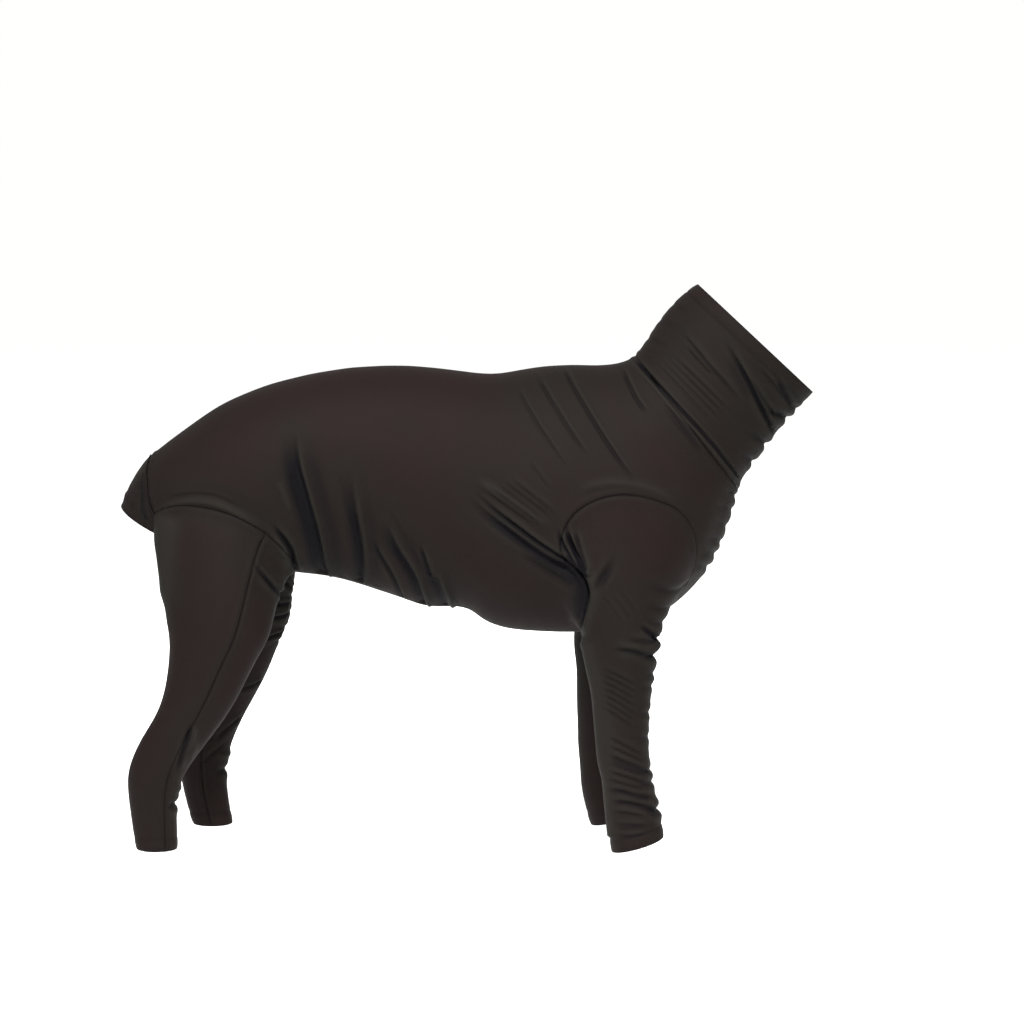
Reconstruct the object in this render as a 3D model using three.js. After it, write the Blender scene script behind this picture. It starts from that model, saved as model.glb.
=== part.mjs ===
import * as THREE from "three";

// A dog recovery suit: a high-necked body stocking with four sleeves, sewn from thin stretch knit. It is hollow, and
// keeps the shape that it has when it is worn and stands on four straight legs. It is open at the neck, at the four
// cuffs and under the tail.
// Frame: +X towards the neck's rim, +Y to the suit's left, +Z up. The origin is inside the back, over the withers.

// Driving dimensions, in millimetres
const TRUNK_LENGTH = 570; // tail edge to neck seam, measured level
const CHEST_DEPTH = 296; // withers to brisket
const CHEST_WIDTH = 218; // across the ribs
const NECK_LENGTH = 118; // neck seam to rim, along the neck's axis
const NECK_DEPTH = 176; // across the rim, from nape to throat
const NECK_WIDTH = 136; // across the rim, from side to side
const FRONT_LEG_LENGTH = 226; // brisket to cuff
const FOREARM_DEPTH = 60; // front sleeve under the elbow, front to back
const FOREARM_WIDTH = 62; // the same, from side to side
const HIND_LEG_LENGTH = 298; // groin to cuff
const THIGH_DEPTH = 110; // thigh under the groin, front to back
const THIGH_WIDTH = 78; // the same, from side to side
const CLOTH = 1.5; // thickness of the knit
const HEM_CLOTH = 2.6; // the same where it is turned up and sewn double
const HEM_DEPTH = 16; // depth of a turned hem
const SEAM_GAP = 0.4; // between two panels at a seam
const FOLD_DEPTH = 7; // the deepest fold

// Where the legs stand: x as a share of TRUNK_LENGTH, and out from the middle plane as a share of CHEST_WIDTH
const FRONT_LEG_X = 0.091;
const FRONT_LEG_OUT = 0.349;
const HIND_LEG_X = -0.684;
const HIND_LEG_OUT = 0.321;
const BRISKET_Z = -1; // where a front leg starts, as a share of CHEST_DEPTH
const GROIN_Z = -0.777; // where a hind leg starts, the same

// Angles, in degrees
const NECK_RISE = 50.4; // the neck's axis above the level
const RIM_LEAN = 47; // how far the plane of the rim leans back from upright
const CUFF_LEAN = 16; // how far a front cuff drops at its heel

// How finely the cloth is divided
const TRUNK_CELLS = 28;
const NECK_CELLS = 8;
const HALF_CELLS = 16; // from the spine round one side to the middle of the belly
const BAND_CELLS = 2; // the tail band takes this many of the trunk's cells
const SIDE_CELLS = 6; // along each of the four sides of a leg hole
const CAP_CELLS = 5; // from a leg hole down to the round part of the sleeve
const SLEEVE_CELLS = 10; // from there down to the hem
const RELAX_ROUNDS = 400;
const FOLD_SAMPLES = 24; // points along a fold's line

// The shape of the caps between the trunk and the round sleeves
const CAP_FLATNESS = 0.75; // 1 leaves the trunk along its surface, and 0 straight towards the leg
const CAP_PULL = 0.9; // how strongly the two ends shape the curve
const RUMP_BULGE = 0.19; // how far the rump stands out behind the opening, as a share of THIGH_DEPTH
const THIGH_BULGE = 0.13; // how far the thigh stands out to the side, as a share of THIGH_WIDTH
const SWELL_PEAK = 0.75; // below 1, the rump and the thigh swell most above the middle of the cap

const SHARPEST_CORNER = 0.5; // cosine of half the turn at which a corner's inset at a seam stops growing

const RIGHT = -1;
const LEFT = 1;
const FORWARD = new THREE.Vector3(1, 0, 0);

// Rings round the trunk, from the opening under the tail to the neck seam. Each joins a point on the back to a point on
// the belly. The x columns are shares of TRUNK_LENGTH, the z columns and sag of CHEST_DEPTH, and width of CHEST_WIDTH.
// Egg is how much wider a ring is towards the back than towards the belly, and sag is how far its sides hang down.
const TRUNK_RINGS = [
  { backX: -0.883, backZ: -0.527, bellyX: -0.675, bellyZ: -0.716, width: 0.34, egg: 0.25, sag: 0.026 },
  { backX: -0.869, backZ: -0.444, bellyX: -0.656, bellyZ: -0.726, width: 0.45, egg: 0.2, sag: 0.02 },
  { backX: -0.833, backZ: -0.354, bellyX: -0.637, bellyZ: -0.736, width: 0.64, egg: 0.1, sag: 0.01 },
  { backX: -0.763, backZ: -0.249, bellyX: -0.614, bellyZ: -0.747, width: 0.76, egg: 0.04, sag: 0 },
  { backX: -0.669, backZ: -0.127, bellyX: -0.586, bellyZ: -0.76, width: 0.83, egg: 0.02, sag: 0 },
  { backX: -0.56, backZ: -0.05, bellyX: -0.547, bellyZ: -0.773, width: 0.84, egg: 0.05, sag: 0 },
  { backX: -0.455, backZ: -0.012, bellyX: -0.474, bellyZ: -0.79, width: 0.82, egg: 0.08, sag: 0 },
  { backX: -0.347, backZ: 0.002, bellyX: -0.36, bellyZ: -0.858, width: 0.83, egg: 0.08, sag: 0 },
  { backX: -0.27, backZ: -0.007, bellyX: -0.281, bellyZ: -0.912, width: 0.89, egg: 0.06, sag: 0 },
  { backX: -0.21, backZ: -0.02, bellyX: -0.212, bellyZ: -0.902, width: 0.93, egg: 0.05, sag: 0 },
  { backX: -0.161, backZ: -0.031, bellyX: -0.169, bellyZ: -0.97, width: 0.96, egg: 0.04, sag: 0 },
  { backX: -0.087, backZ: -0.009, bellyX: -0.087, bellyZ: -0.996, width: 1, egg: 0.03, sag: 0 },
  { backX: -0.019, backZ: 0.004, bellyX: 0.011, bellyZ: -1, width: 1, egg: 0.03, sag: 0 },
  { backX: 0.029, backZ: 0, bellyX: 0.128, bellyZ: -0.97, width: 0.97, egg: 0.03, sag: 0 },
  { backX: 0.064, backZ: 0.004, bellyX: 0.222, bellyZ: -0.855, width: 0.91, egg: 0.02, sag: 0 },
  { backX: 0.091, backZ: 0.014, bellyX: 0.283, bellyZ: -0.689, width: 0.82, egg: 0, sag: 0 },
  { backX: 0.116, backZ: 0.036, bellyX: 0.319, bellyZ: -0.443, width: 0.7, egg: 0, sag: 0 },
];

// Rings of the neck tube past the neck seam. Along is a share of NECK_LENGTH, depth and nape of NECK_DEPTH and width of
// NECK_WIDTH. Turn is the share of the way that the ring has leaned from the neck seam to the rim, and nape is how far
// it stands up from the neck's axis.
const NECK_RINGS = [
  { along: 0.16, depth: 1.035, width: 1.06, turn: 0.1, nape: 0.012 },
  { along: 0.37, depth: 1.045, width: 1.0, turn: 0.1, nape: 0.024 },
  { along: 0.6, depth: 1.035, width: 0.98, turn: 0.15, nape: 0.028 },
  { along: 0.83, depth: 1.01, width: 0.98, turn: 0.55, nape: 0.02 },
  { along: 1, depth: 1, width: 1, turn: 1, nape: 0 },
];

// The leg holes, as eight points on the trunk: its ring, counted from the tail, and the angle round from the spine.
// They run from the top rear corner forwards over the top.
const HIND_HOLE = [
  { ring: 1.0, angle: 64 },
  { ring: 2.4, angle: 77 },
  { ring: 4.2, angle: 120 },
  { ring: 5.2, angle: 150 },
  { ring: 4.5, angle: 163 },
  { ring: 3.1, angle: 164 },
  { ring: 1.2, angle: 148 },
  { ring: 1.0, angle: 104 },
];
const FRONT_HOLE = [
  { ring: 11.85, angle: 94 },
  { ring: 13.15, angle: 84 },
  { ring: 14.5, angle: 107 },
  { ring: 14.6, angle: 133 },
  { ring: 13.9, angle: 153 },
  { ring: 12.9, angle: 163 },
  { ring: 12.0, angle: 156 },
  { ring: 11.6, angle: 124 },
];
const HIND_HOLE_CELL = BAND_CELLS; // the trunk's cell where the hind hole starts
const FRONT_HOLE_CELL = 19;
const HOLE_TOP_CELL = 8; // cells between the spine and the top of a hole
const TAIL_FLAP_RING = 2.2; // the band's seam reaches this ring at the spine
const BAND_BELLY_RING = 1.0; // and this ring at the belly

// Rings down a front sleeve. Down is a share of FRONT_LEG_LENGTH, depth of FOREARM_DEPTH and width of FOREARM_WIDTH.
// The two lean columns are how far the right and left legs stand forward, as shares of FRONT_LEG_LENGTH, and inward is
// how far both stand in from the spread, in the same shares.
const FRONT_RINGS = [
  { down: 0.1, depth: 1.2, width: 1.12, rightLean: 0, leftLean: -0.063, inward: 0 },
  { down: 0.24, depth: 1.0, width: 1.0, rightLean: 0.007, leftLean: -0.073, inward: 0.01 },
  { down: 0.39, depth: 0.92, width: 0.94, rightLean: 0.009, leftLean: -0.08, inward: 0.015 },
  { down: 0.58, depth: 0.87, width: 0.9, rightLean: 0.018, leftLean: -0.08, inward: 0.02 },
  { down: 0.73, depth: 0.89, width: 0.88, rightLean: 0.035, leftLean: -0.076, inward: 0.025 },
  { down: 0.86, depth: 0.97, width: 0.9, rightLean: 0.057, leftLean: -0.055, inward: 0.03 },
  { down: 1, depth: 1.02, width: 0.94, rightLean: 0.076, leftLean: -0.01, inward: 0.03 },
];

// Rings down a hind sleeve, in shares of HIND_LEG_LENGTH, THIGH_DEPTH and THIGH_WIDTH. Seam is the angle, from the
// outside of the leg towards the front, where the seam of the two panels runs.
const HIND_RINGS = [
  { down: 0.21, depth: 1.0, width: 1.0, rightLean: 0, leftLean: 0.047, inward: 0, seam: 20 },
  { down: 0.305, depth: 0.86, width: 0.9, rightLean: -0.03, leftLean: 0.03, inward: -0.01, seam: 14 },
  { down: 0.4, depth: 0.775, width: 0.82, rightLean: -0.06, leftLean: 0.01, inward: -0.015, seam: 13 },
  { down: 0.485, depth: 0.725, width: 0.76, rightLean: -0.096, leftLean: -0.023, inward: -0.02, seam: 11 },
  { down: 0.57, depth: 0.695, width: 0.7, rightLean: -0.154, leftLean: -0.07, inward: -0.02, seam: 14 },
  { down: 0.66, depth: 0.63, width: 0.65, rightLean: -0.211, leftLean: -0.102, inward: -0.015, seam: 22 },
  { down: 0.735, depth: 0.55, width: 0.61, rightLean: -0.242, leftLean: -0.113, inward: -0.01, seam: 28 },
  { down: 0.81, depth: 0.475, width: 0.58, rightLean: -0.25, leftLean: -0.108, inward: 0, seam: 33 },
  { down: 0.9, depth: 0.455, width: 0.56, rightLean: -0.246, leftLean: -0.096, inward: 0.01, seam: 33 },
  { down: 1, depth: 0.42, width: 0.55, rightLean: -0.24, leftLean: -0.072, inward: 0.015, seam: 31 },
];

// The main folds, as three points seen from the side: x as a share of TRUNK_LENGTH and z of CHEST_DEPTH. Depth is a
// share of FOLD_DEPTH, and width is half the fold's width as a share of CHEST_WIDTH.
const FOLDS = [
  { name: "flank", x: [-0.551, -0.518, -0.478], z: [-0.25, -0.51, -0.76], depth: 1, width: 0.075 },
  { name: "flank low", x: [-0.41, -0.4, -0.39], z: [-0.55, -0.69, -0.8], depth: 0.6, width: 0.06 },
  { name: "belly", x: [-0.35, -0.32, -0.29], z: [-0.6, -0.74, -0.87], depth: 0.6, width: 0.06 },
  { name: "elbow drag", x: [-0.21, -0.1, 0.015], z: [-0.43, -0.61, -0.8], depth: 1, width: 0.07 },
  { name: "shoulder", x: [-0.02, 0.065, 0.15], z: [-0.03, -0.26, -0.45], depth: 0.5, width: 0.055 },
  { name: "neck seam", x: [0.11, 0.205, 0.29], z: [0.01, -0.18, -0.42], depth: 0.6, width: 0.05 },
  { name: "throat", x: [0.17, 0.24, 0.325], z: [0.07, -0.12, -0.3], depth: 0.6, width: 0.05 },
  { name: "throat top", x: [0.26, 0.335, 0.385], z: [0.06, -0.11, -0.26], depth: 0.6, width: 0.05 },
  { name: "chest", x: [0.31, 0.28, 0.25], z: [-0.5, -0.515, -0.54], depth: 0.5, width: 0.05 },
  { name: "chest low", x: [0.285, 0.25, 0.22], z: [-0.65, -0.66, -0.68], depth: 0.5, width: 0.05 },
];

const smooth = (share) => THREE.MathUtils.smoothstep(share, 0, 1);

// A smooth curve through one vector for each row of a table, read at a row number that need not be whole.
function columnCurve(rows, vectorOf) {
  const curve = new THREE.CatmullRomCurve3(rows.map(vectorOf), false, "centripetal");
  return (row) => curve.getPoint(THREE.MathUtils.clamp(row / (rows.length - 1), 0, 1));
}

// The rings of the trunk and the neck as one table: a point on the back, a point on the belly, and the columns that
// shape the sides.
function tubeRings() {
  const trunk = TRUNK_RINGS.map((r) => ({
    back: new THREE.Vector3(r.backX * TRUNK_LENGTH, 0, r.backZ * CHEST_DEPTH + CLOTH),
    belly: new THREE.Vector3(r.bellyX * TRUNK_LENGTH, 0, r.bellyZ * CHEST_DEPTH),
    half: (r.width * CHEST_WIDTH) / 2,
    egg: r.egg,
    sag: r.sag * CHEST_DEPTH,
  }));
  const seam = trunk[trunk.length - 1];
  const seamMiddle = seam.back.clone().lerp(seam.belly, 0.5);
  const seamLean = Math.atan2(seam.belly.x - seam.back.x, seam.back.z - seam.belly.z);
  const rise = THREE.MathUtils.degToRad(NECK_RISE);
  const axis = new THREE.Vector3(Math.cos(rise), 0, Math.sin(rise));
  const neck = NECK_RINGS.map((r) => {
    const middle = seamMiddle.clone().addScaledVector(axis, r.along * NECK_LENGTH);
    const lean = THREE.MathUtils.lerp(seamLean, THREE.MathUtils.degToRad(RIM_LEAN), r.turn);
    const up = new THREE.Vector3(-Math.sin(lean), 0, Math.cos(lean));
    middle.addScaledVector(up, r.nape * NECK_DEPTH);
    return {
      back: middle.clone().addScaledVector(up, (r.depth * NECK_DEPTH) / 2),
      belly: middle.clone().addScaledVector(up, (-r.depth * NECK_DEPTH) / 2),
      half: (r.width * NECK_WIDTH) / 2,
      egg: 0,
      sag: 0,
    };
  });
  return [...trunk, ...neck];
}

const tube = tubeRings();
const backAt = columnCurve(tube, (r) => r.back);
const bellyAt = columnCurve(tube, (r) => r.belly);
const girthAt = columnCurve(tube, (r) => new THREE.Vector3(r.half, r.egg, r.sag));

// A point of the trunk or neck: ring counted from the tail, angle in degrees from the spine, and the side.
function tubePoint(ring, angle, side) {
  const back = backAt(ring);
  const belly = bellyAt(ring);
  const girth = girthAt(ring);
  const turn = THREE.MathUtils.degToRad(angle);
  const rise = Math.cos(turn);
  const point = belly.lerp(back, (1 + rise) / 2);
  point.y = side * girth.x * Math.sin(turn) * (1 + girth.y * rise);
  point.z -= girth.z * Math.sin(turn);
  return point;
}

// The cells of a leg hole's edge as [along, round] steps, from its top rear corner forwards over the top.
function holeEdge() {
  const n = SIDE_CELLS;
  const edge = [];
  for (let k = 0; k < n; k++) edge.push([k, 0]);
  for (let k = 0; k < n; k++) edge.push([n, k]);
  for (let k = 0; k < n; k++) edge.push([n - k, n]);
  for (let k = 0; k < n; k++) edge.push([0, n - k]);
  return edge;
}

// Where each corner of the trunk's cells lies, as ring and angle. The openings, the band's seam and the leg holes are
// set, and the other corners are relaxed to the middle of their neighbours.
function layOutTrunk() {
  const lastRing = TRUNK_RINGS.length - 1;
  const grid = [];
  for (let i = 0; i <= TRUNK_CELLS; i++) {
    grid.push([]);
    for (let j = 0; j <= HALF_CELLS; j++)
      grid[i].push({
        ring: (lastRing * i) / TRUNK_CELLS,
        angle: (180 * j) / HALF_CELLS,
        set: i === 0 || i === TRUNK_CELLS,
        open: false,
      });
  }
  const holes = [
    { cell: HIND_HOLE_CELL, points: HIND_HOLE },
    { cell: FRONT_HOLE_CELL, points: FRONT_HOLE },
  ];
  for (const { cell, points } of holes) {
    const loop = new THREE.CatmullRomCurve3(
      points.map((p) => new THREE.Vector3(p.ring, p.angle, 0)),
      true,
      "catmullrom",
    );
    const edge = holeEdge();
    for (let i = 1; i < SIDE_CELLS; i++)
      for (let j = 1; j < SIDE_CELLS; j++) grid[cell + i][HOLE_TOP_CELL + j].open = true;
    edge.forEach(([along, round], k) => {
      const at = loop.getPoint(k / edge.length);
      Object.assign(grid[cell + along][HOLE_TOP_CELL + round], { ring: at.x, angle: at.y, set: true });
    });
  }
  const bandTop = grid[BAND_CELLS][HOLE_TOP_CELL];
  const bandLow = grid[BAND_CELLS][HOLE_TOP_CELL + SIDE_CELLS];
  for (let j = 0; j < HOLE_TOP_CELL; j++) {
    const share = j / HOLE_TOP_CELL;
    const ring = THREE.MathUtils.lerp(bandTop.ring, TAIL_FLAP_RING, Math.cos((share * Math.PI) / 2));
    Object.assign(grid[BAND_CELLS][j], { ring, angle: bandTop.angle * share, set: true });
  }
  for (let j = HOLE_TOP_CELL + SIDE_CELLS + 1; j <= HALF_CELLS; j++) {
    const share = (j - HOLE_TOP_CELL - SIDE_CELLS) / (HALF_CELLS - HOLE_TOP_CELL - SIDE_CELLS);
    const ring = THREE.MathUtils.lerp(bandLow.ring, BAND_BELLY_RING, smooth(share));
    const angle = THREE.MathUtils.lerp(bandLow.angle, 180, share);
    Object.assign(grid[BAND_CELLS][j], { ring, angle, set: true });
  }
  for (let round = 0; round < RELAX_ROUNDS; round++)
    for (let i = 1; i < TRUNK_CELLS; i++)
      for (let j = 0; j <= HALF_CELLS; j++) {
        const here = grid[i][j];
        if (here.set || here.open) continue;
        const near = [grid[i - 1][j], grid[i + 1][j]];
        near.push(grid[i][j === 0 ? 1 : j - 1], grid[i][j === HALF_CELLS ? j - 1 : j + 1]);
        here.ring = near.reduce((sum, c) => sum + c.ring, 0) / near.length;
        if (j > 0 && j < HALF_CELLS) here.angle = near.reduce((sum, c) => sum + c.angle, 0) / near.length;
      }
  return grid;
}

// The whole suit as one welded sheet of four-cornered cells, each marked with its panel.
const cloth = { points: [], cells: [], hem: new Set() };

function addPoint(point) {
  return cloth.points.push(point) - 1;
}

function addCell(panel, side, corners) {
  cloth.cells.push({ panel, corners: side === RIGHT ? corners : [...corners].reverse() });
}

// The trunk and the neck. It returns the numbers of the trunk's points for each side.
function layTube() {
  const grid = layOutTrunk();
  const lastRing = TRUNK_RINGS.length - 1;
  const hemShare = HEM_DEPTH / NECK_LENGTH;
  for (let k = 1; k <= NECK_CELLS; k++) {
    const share = k === NECK_CELLS ? 1 : ((1 - hemShare) * k) / (NECK_CELLS - 1);
    const ring = lastRing + share * NECK_RINGS.length;
    grid.push(grid[0].map((c, j) => ({ ring, angle: (180 * j) / HALF_CELLS, open: false })));
  }
  const ids = { [RIGHT]: [], [LEFT]: [] };
  for (const side of [RIGHT, LEFT])
    grid.forEach((row, i) => {
      ids[side].push(
        row.map((c, j) => {
          if (c.open) return -1;
          if (side === LEFT && (j === 0 || j === HALF_CELLS)) return ids[RIGHT][i][j];
          return addPoint(tubePoint(c.ring, c.angle, side));
        }),
      );
    });
  const inHole = (i, j, cell) =>
    i >= cell && i < cell + SIDE_CELLS && j >= HOLE_TOP_CELL && j < HOLE_TOP_CELL + SIDE_CELLS;
  for (const side of [RIGHT, LEFT])
    for (let i = 0; i < grid.length - 1; i++)
      for (let j = 0; j < HALF_CELLS; j++) {
        if (inHole(i, j, HIND_HOLE_CELL) || inHole(i, j, FRONT_HOLE_CELL)) continue;
        const id = ids[side];
        const panel = i < BAND_CELLS ? "tail_band" : i < TRUNK_CELLS ? "body_shell" : "neck_tube";
        addCell(panel, side, [id[i][j], id[i][j + 1], id[i + 1][j + 1], id[i + 1][j]]);
      }
  for (const side of [RIGHT, LEFT])
    for (const i of [0, grid.length - 1, grid.length - 2]) ids[side][i].forEach((id) => cloth.hem.add(id));
  return ids;
}

// The direction that the cloth faces at each point, from the cells that meet there.
function facing() {
  const normals = cloth.points.map(() => new THREE.Vector3());
  for (const { corners } of cloth.cells) {
    const [a, b, c, d] = corners.map((id) => cloth.points[id]);
    const normal = new THREE.Vector3().crossVectors(c.clone().sub(a), d.clone().sub(b));
    for (const id of corners) normals[id].add(normal);
  }
  return normals.map((n) => n.normalize());
}

// One point of a sleeve's ring. The angle runs from the outside of the leg to the front, the inside and the back.
function ringPoint(ring, angle, side) {
  const turn = THREE.MathUtils.degToRad(angle);
  const forward = FORWARD.clone().applyAxisAngle(new THREE.Vector3(0, 1, 0), -ring.lean);
  return ring.middle
    .clone()
    .addScaledVector(forward, ring.halfDepth * Math.sin(turn))
    .add(new THREE.Vector3(0, side * ring.halfWidth * Math.cos(turn), 0));
}

// The leg's rings as curves of one number from 0, the first ring, to 1, the cuff.
function legRings(leg, side) {
  const lean = side === RIGHT ? "rightLean" : "leftLean";
  const middle = columnCurve(
    leg.rings,
    (r) =>
      new THREE.Vector3(
        leg.x + r[lean] * leg.length,
        side * (leg.spread - r.inward * leg.length),
        leg.top - r.down * leg.length,
      ),
  );
  const girth = columnCurve(
    leg.rings,
    (r) => new THREE.Vector3((r.depth * leg.depth) / 2, (r.width * leg.width) / 2, r.seam ?? leg.seam),
  );
  const rows = leg.rings.length - 1;
  return (share) => {
    const size = girth(share * rows);
    return {
      middle: middle(share * rows),
      halfDepth: size.x,
      halfWidth: size.y,
      seam: size.z,
      lean: THREE.MathUtils.degToRad(leg.cuffLean) * smooth(2 * share - 1),
    };
  };
}

// A point between a leg hole and the first ring, on a curve that leaves the trunk along its surface.
function capPoint(start, end, normal, down, share) {
  const way = end.clone().sub(start);
  const length = way.length();
  const flat = way.clone().addScaledVector(normal, -CAP_FLATNESS * way.dot(normal));
  const leave = flat.normalize().multiplyScalar(length * CAP_PULL);
  const arrive = down.clone().multiplyScalar(length * CAP_PULL);
  const s = share;
  return start
    .clone()
    .multiplyScalar(2 * s ** 3 - 3 * s ** 2 + 1)
    .addScaledVector(leave, s ** 3 - 2 * s ** 2 + s)
    .addScaledVector(end, 3 * s ** 2 - 2 * s ** 3)
    .addScaledVector(arrive, s ** 3 - s ** 2);
}

// One leg: the trunk's points round the hole, the cap, and the round sleeve down to its cuff.
function layLeg(leg, side, trunkIds, normals) {
  const edge = holeEdge();
  const corners = edge.length;
  const rings = legRings(leg, side);
  const first = rings(0);
  const down = rings(0.1).middle.sub(first.middle).normalize();
  const angleAt = (ring, k) => {
    const even = (360 * k) / corners - 45;
    const reach = Math.max(0, 1 - Math.abs(k - leg.seamCorner) / (corners / 2 - 3));
    return even + (ring.seam - leg.seam) * smooth(reach);
  };
  const rows = [edge.map(([along, round]) => trunkIds[side][leg.cell + along][HOLE_TOP_CELL + round])];
  for (let row = 1; row <= CAP_CELLS; row++)
    rows.push(
      edge.map((unused, k) => {
        const start = rows[0][k];
        const angle = angleAt(first, k);
        const end = ringPoint(first, angle, side);
        const share = row / (CAP_CELLS + 1);
        const point = capPoint(cloth.points[start], end, normals[start], down, share);
        const turn = THREE.MathUtils.degToRad(angle);
        const swell = Math.sin(Math.PI * share ** SWELL_PEAK);
        point.x -= leg.rump * swell * Math.max(0, -Math.sin(turn)) ** 2;
        point.y += side * leg.thigh * swell * Math.max(0, Math.cos(turn)) ** 2;
        return addPoint(point);
      }),
    );
  const hemShare = HEM_DEPTH / (leg.length * (1 - leg.rings[0].down));
  for (let row = 0; row <= SLEEVE_CELLS + 1; row++) {
    const share = row > SLEEVE_CELLS ? 1 : ((1 - hemShare) * row) / SLEEVE_CELLS;
    const ring = rings(share);
    rows.push(edge.map((unused, k) => addPoint(ringPoint(ring, angleAt(ring, k), side))));
  }
  for (const row of rows.slice(-2)) row.forEach((id) => cloth.hem.add(id));
  for (let row = 0; row < rows.length - 1; row++)
    for (let k = 0; k < corners; k++) {
      const next = (k + 1) % corners;
      const [above, below] = [rows[row], rows[row + 1]];
      addCell(leg.panelAt(k), side, [above[k], below[k], below[next], above[next]]);
    }
}

const SIDE_NAMES = { [RIGHT]: "right", [LEFT]: "left" };
const LATERAL_SEAM = SIDE_CELLS; // the hind sleeve's outer seam leaves the hole at its top front corner
const MEDIAL_SEAM = SIDE_CELLS * 2.5; // and its inner seam leaves it half way along the inside

function frontLeg(side) {
  return {
    cell: FRONT_HOLE_CELL,
    rings: FRONT_RINGS,
    length: FRONT_LEG_LENGTH,
    x: FRONT_LEG_X * TRUNK_LENGTH,
    spread: FRONT_LEG_OUT * CHEST_WIDTH,
    top: BRISKET_Z * CHEST_DEPTH,
    depth: FOREARM_DEPTH,
    width: FOREARM_WIDTH,
    cuffLean: CUFF_LEAN,
    rump: 0,
    thigh: 0,
    seam: 45,
    seamCorner: LATERAL_SEAM,
    panelAt: () => `front_sleeve_${SIDE_NAMES[side]}`,
  };
}

function hindLeg(side) {
  return {
    cell: HIND_HOLE_CELL,
    rings: HIND_RINGS,
    length: HIND_LEG_LENGTH,
    x: HIND_LEG_X * TRUNK_LENGTH,
    spread: HIND_LEG_OUT * CHEST_WIDTH,
    top: GROIN_Z * CHEST_DEPTH,
    depth: THIGH_DEPTH,
    width: THIGH_WIDTH,
    cuffLean: 0,
    rump: RUMP_BULGE * THIGH_DEPTH,
    thigh: THIGH_BULGE * THIGH_WIDTH,
    seam: 45,
    seamCorner: LATERAL_SEAM,
    panelAt: (k) => {
      const part = k >= LATERAL_SEAM && k < MEDIAL_SEAM ? "front" : "back";
      return `hind_sleeve_${part}_${SIDE_NAMES[side]}`;
    },
  };
}

// How far the folds push a point in, from its place seen from the side.
function foldDepth(point) {
  let depth = 0;
  for (const fold of FOLDS) {
    const curve = new THREE.QuadraticBezierCurve3(
      ...fold.x.map((x, k) => new THREE.Vector3(x * TRUNK_LENGTH, 0, fold.z[k] * CHEST_DEPTH)),
    );
    const flat = new THREE.Vector3(point.x, 0, point.z);
    const samples = curve.getPoints(FOLD_SAMPLES);
    const gaps = samples.map((s) => s.distanceTo(flat));
    const nearest = gaps.indexOf(Math.min(...gaps));
    const fade = Math.sin((Math.PI * (nearest + 1)) / (FOLD_SAMPLES + 2));
    const across = gaps[nearest] / (fold.width * CHEST_WIDTH);
    depth += fold.depth * FOLD_DEPTH * fade * Math.exp(-across * across);
  }
  return depth;
}

function foldCloth(trunkPoints) {
  const normals = facing();
  for (let id = 0; id < trunkPoints; id++) cloth.points[id].addScaledVector(normals[id], -foldDepth(cloth.points[id]));
}

// How far each point of a panel's border is drawn back into the panel, so that its edges keep half the gap at a seam.
function insets(border, normals) {
  const sideways = new Map();
  for (const [from, to] of border) {
    const way = cloth.points[to].clone().sub(cloth.points[from]).normalize();
    for (const id of [from, to]) {
      if (!sideways.has(id)) sideways.set(id, []);
      sideways.get(id).push(new THREE.Vector3().crossVectors(normals[id], way).normalize());
    }
  }
  const moves = new Map();
  for (const [id, [one, other]] of sideways) {
    const move = one.clone().add(other).normalize();
    moves.set(id, move.multiplyScalar(SEAM_GAP / 2 / Math.max(move.dot(one), SHARPEST_CORNER)));
  }
  return moves;
}

// One panel of the sheet as a closed solid: its outside, its inside and its edges, drawn back from the seams.
function panelGeometry(panel, normals) {
  const cells = cloth.cells.filter((c) => c.panel === panel);
  const edges = new Map();
  for (const { corners } of cells)
    corners.forEach((from, k) => edges.set(`${from} ${corners[(k + 1) % 4]}`, [from, corners[(k + 1) % 4]]));
  const border = [...edges.values()].filter(([from, to]) => !edges.has(`${to} ${from}`));
  const inwards = insets(border, normals);
  const number = new Map();
  const positions = [];
  for (const id of new Set(cells.flatMap((c) => c.corners))) {
    const normal = normals[id];
    const outside = cloth.points[id].clone();
    if (inwards.has(id)) outside.add(inwards.get(id));
    const thick = cloth.hem.has(id) ? HEM_CLOTH : CLOTH;
    const inside = outside.clone().addScaledVector(normal, -thick);
    number.set(id, positions.length / 6);
    positions.push(...outside.toArray(), ...inside.toArray());
  }
  const out = (id) => number.get(id) * 2;
  const inn = (id) => number.get(id) * 2 + 1;
  const index = [];
  for (const { corners } of cells) {
    const [a, b, c, d] = corners;
    const even = cloth.points[a].distanceTo(cloth.points[c]) <= cloth.points[b].distanceTo(cloth.points[d]);
    const halves = even ? [[a, b, c], [a, c, d]] : [[a, b, d], [b, c, d]];
    for (const half of halves) index.push(...half.map(out), ...[...half].reverse().map(inn));
  }
  for (const [from, to] of border)
    if (from < to) index.push(out(to), out(from), inn(from), out(to), inn(from), inn(to));
    else index.push(out(to), out(from), inn(to), out(from), inn(from), inn(to));
  const geometry = new THREE.BufferGeometry();
  geometry.setAttribute("position", new THREE.Float32BufferAttribute(positions, 3));
  geometry.setIndex(index);
  geometry.computeVertexNormals();
  return geometry;
}

// Charcoal stretch knit with a faint sheen.
function knit() {
  return new THREE.MeshStandardMaterial({ color: 0x35302e, roughness: 0.78, metalness: 0 });
}

const trunkIds = layTube();
const trunkPoints = cloth.points.length;
const trunkNormals = facing();
for (const side of [RIGHT, LEFT]) {
  layLeg(hindLeg(side), side, trunkIds, trunkNormals);
  layLeg(frontLeg(side), side, trunkIds, trunkNormals);
}
foldCloth(trunkPoints);

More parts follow.
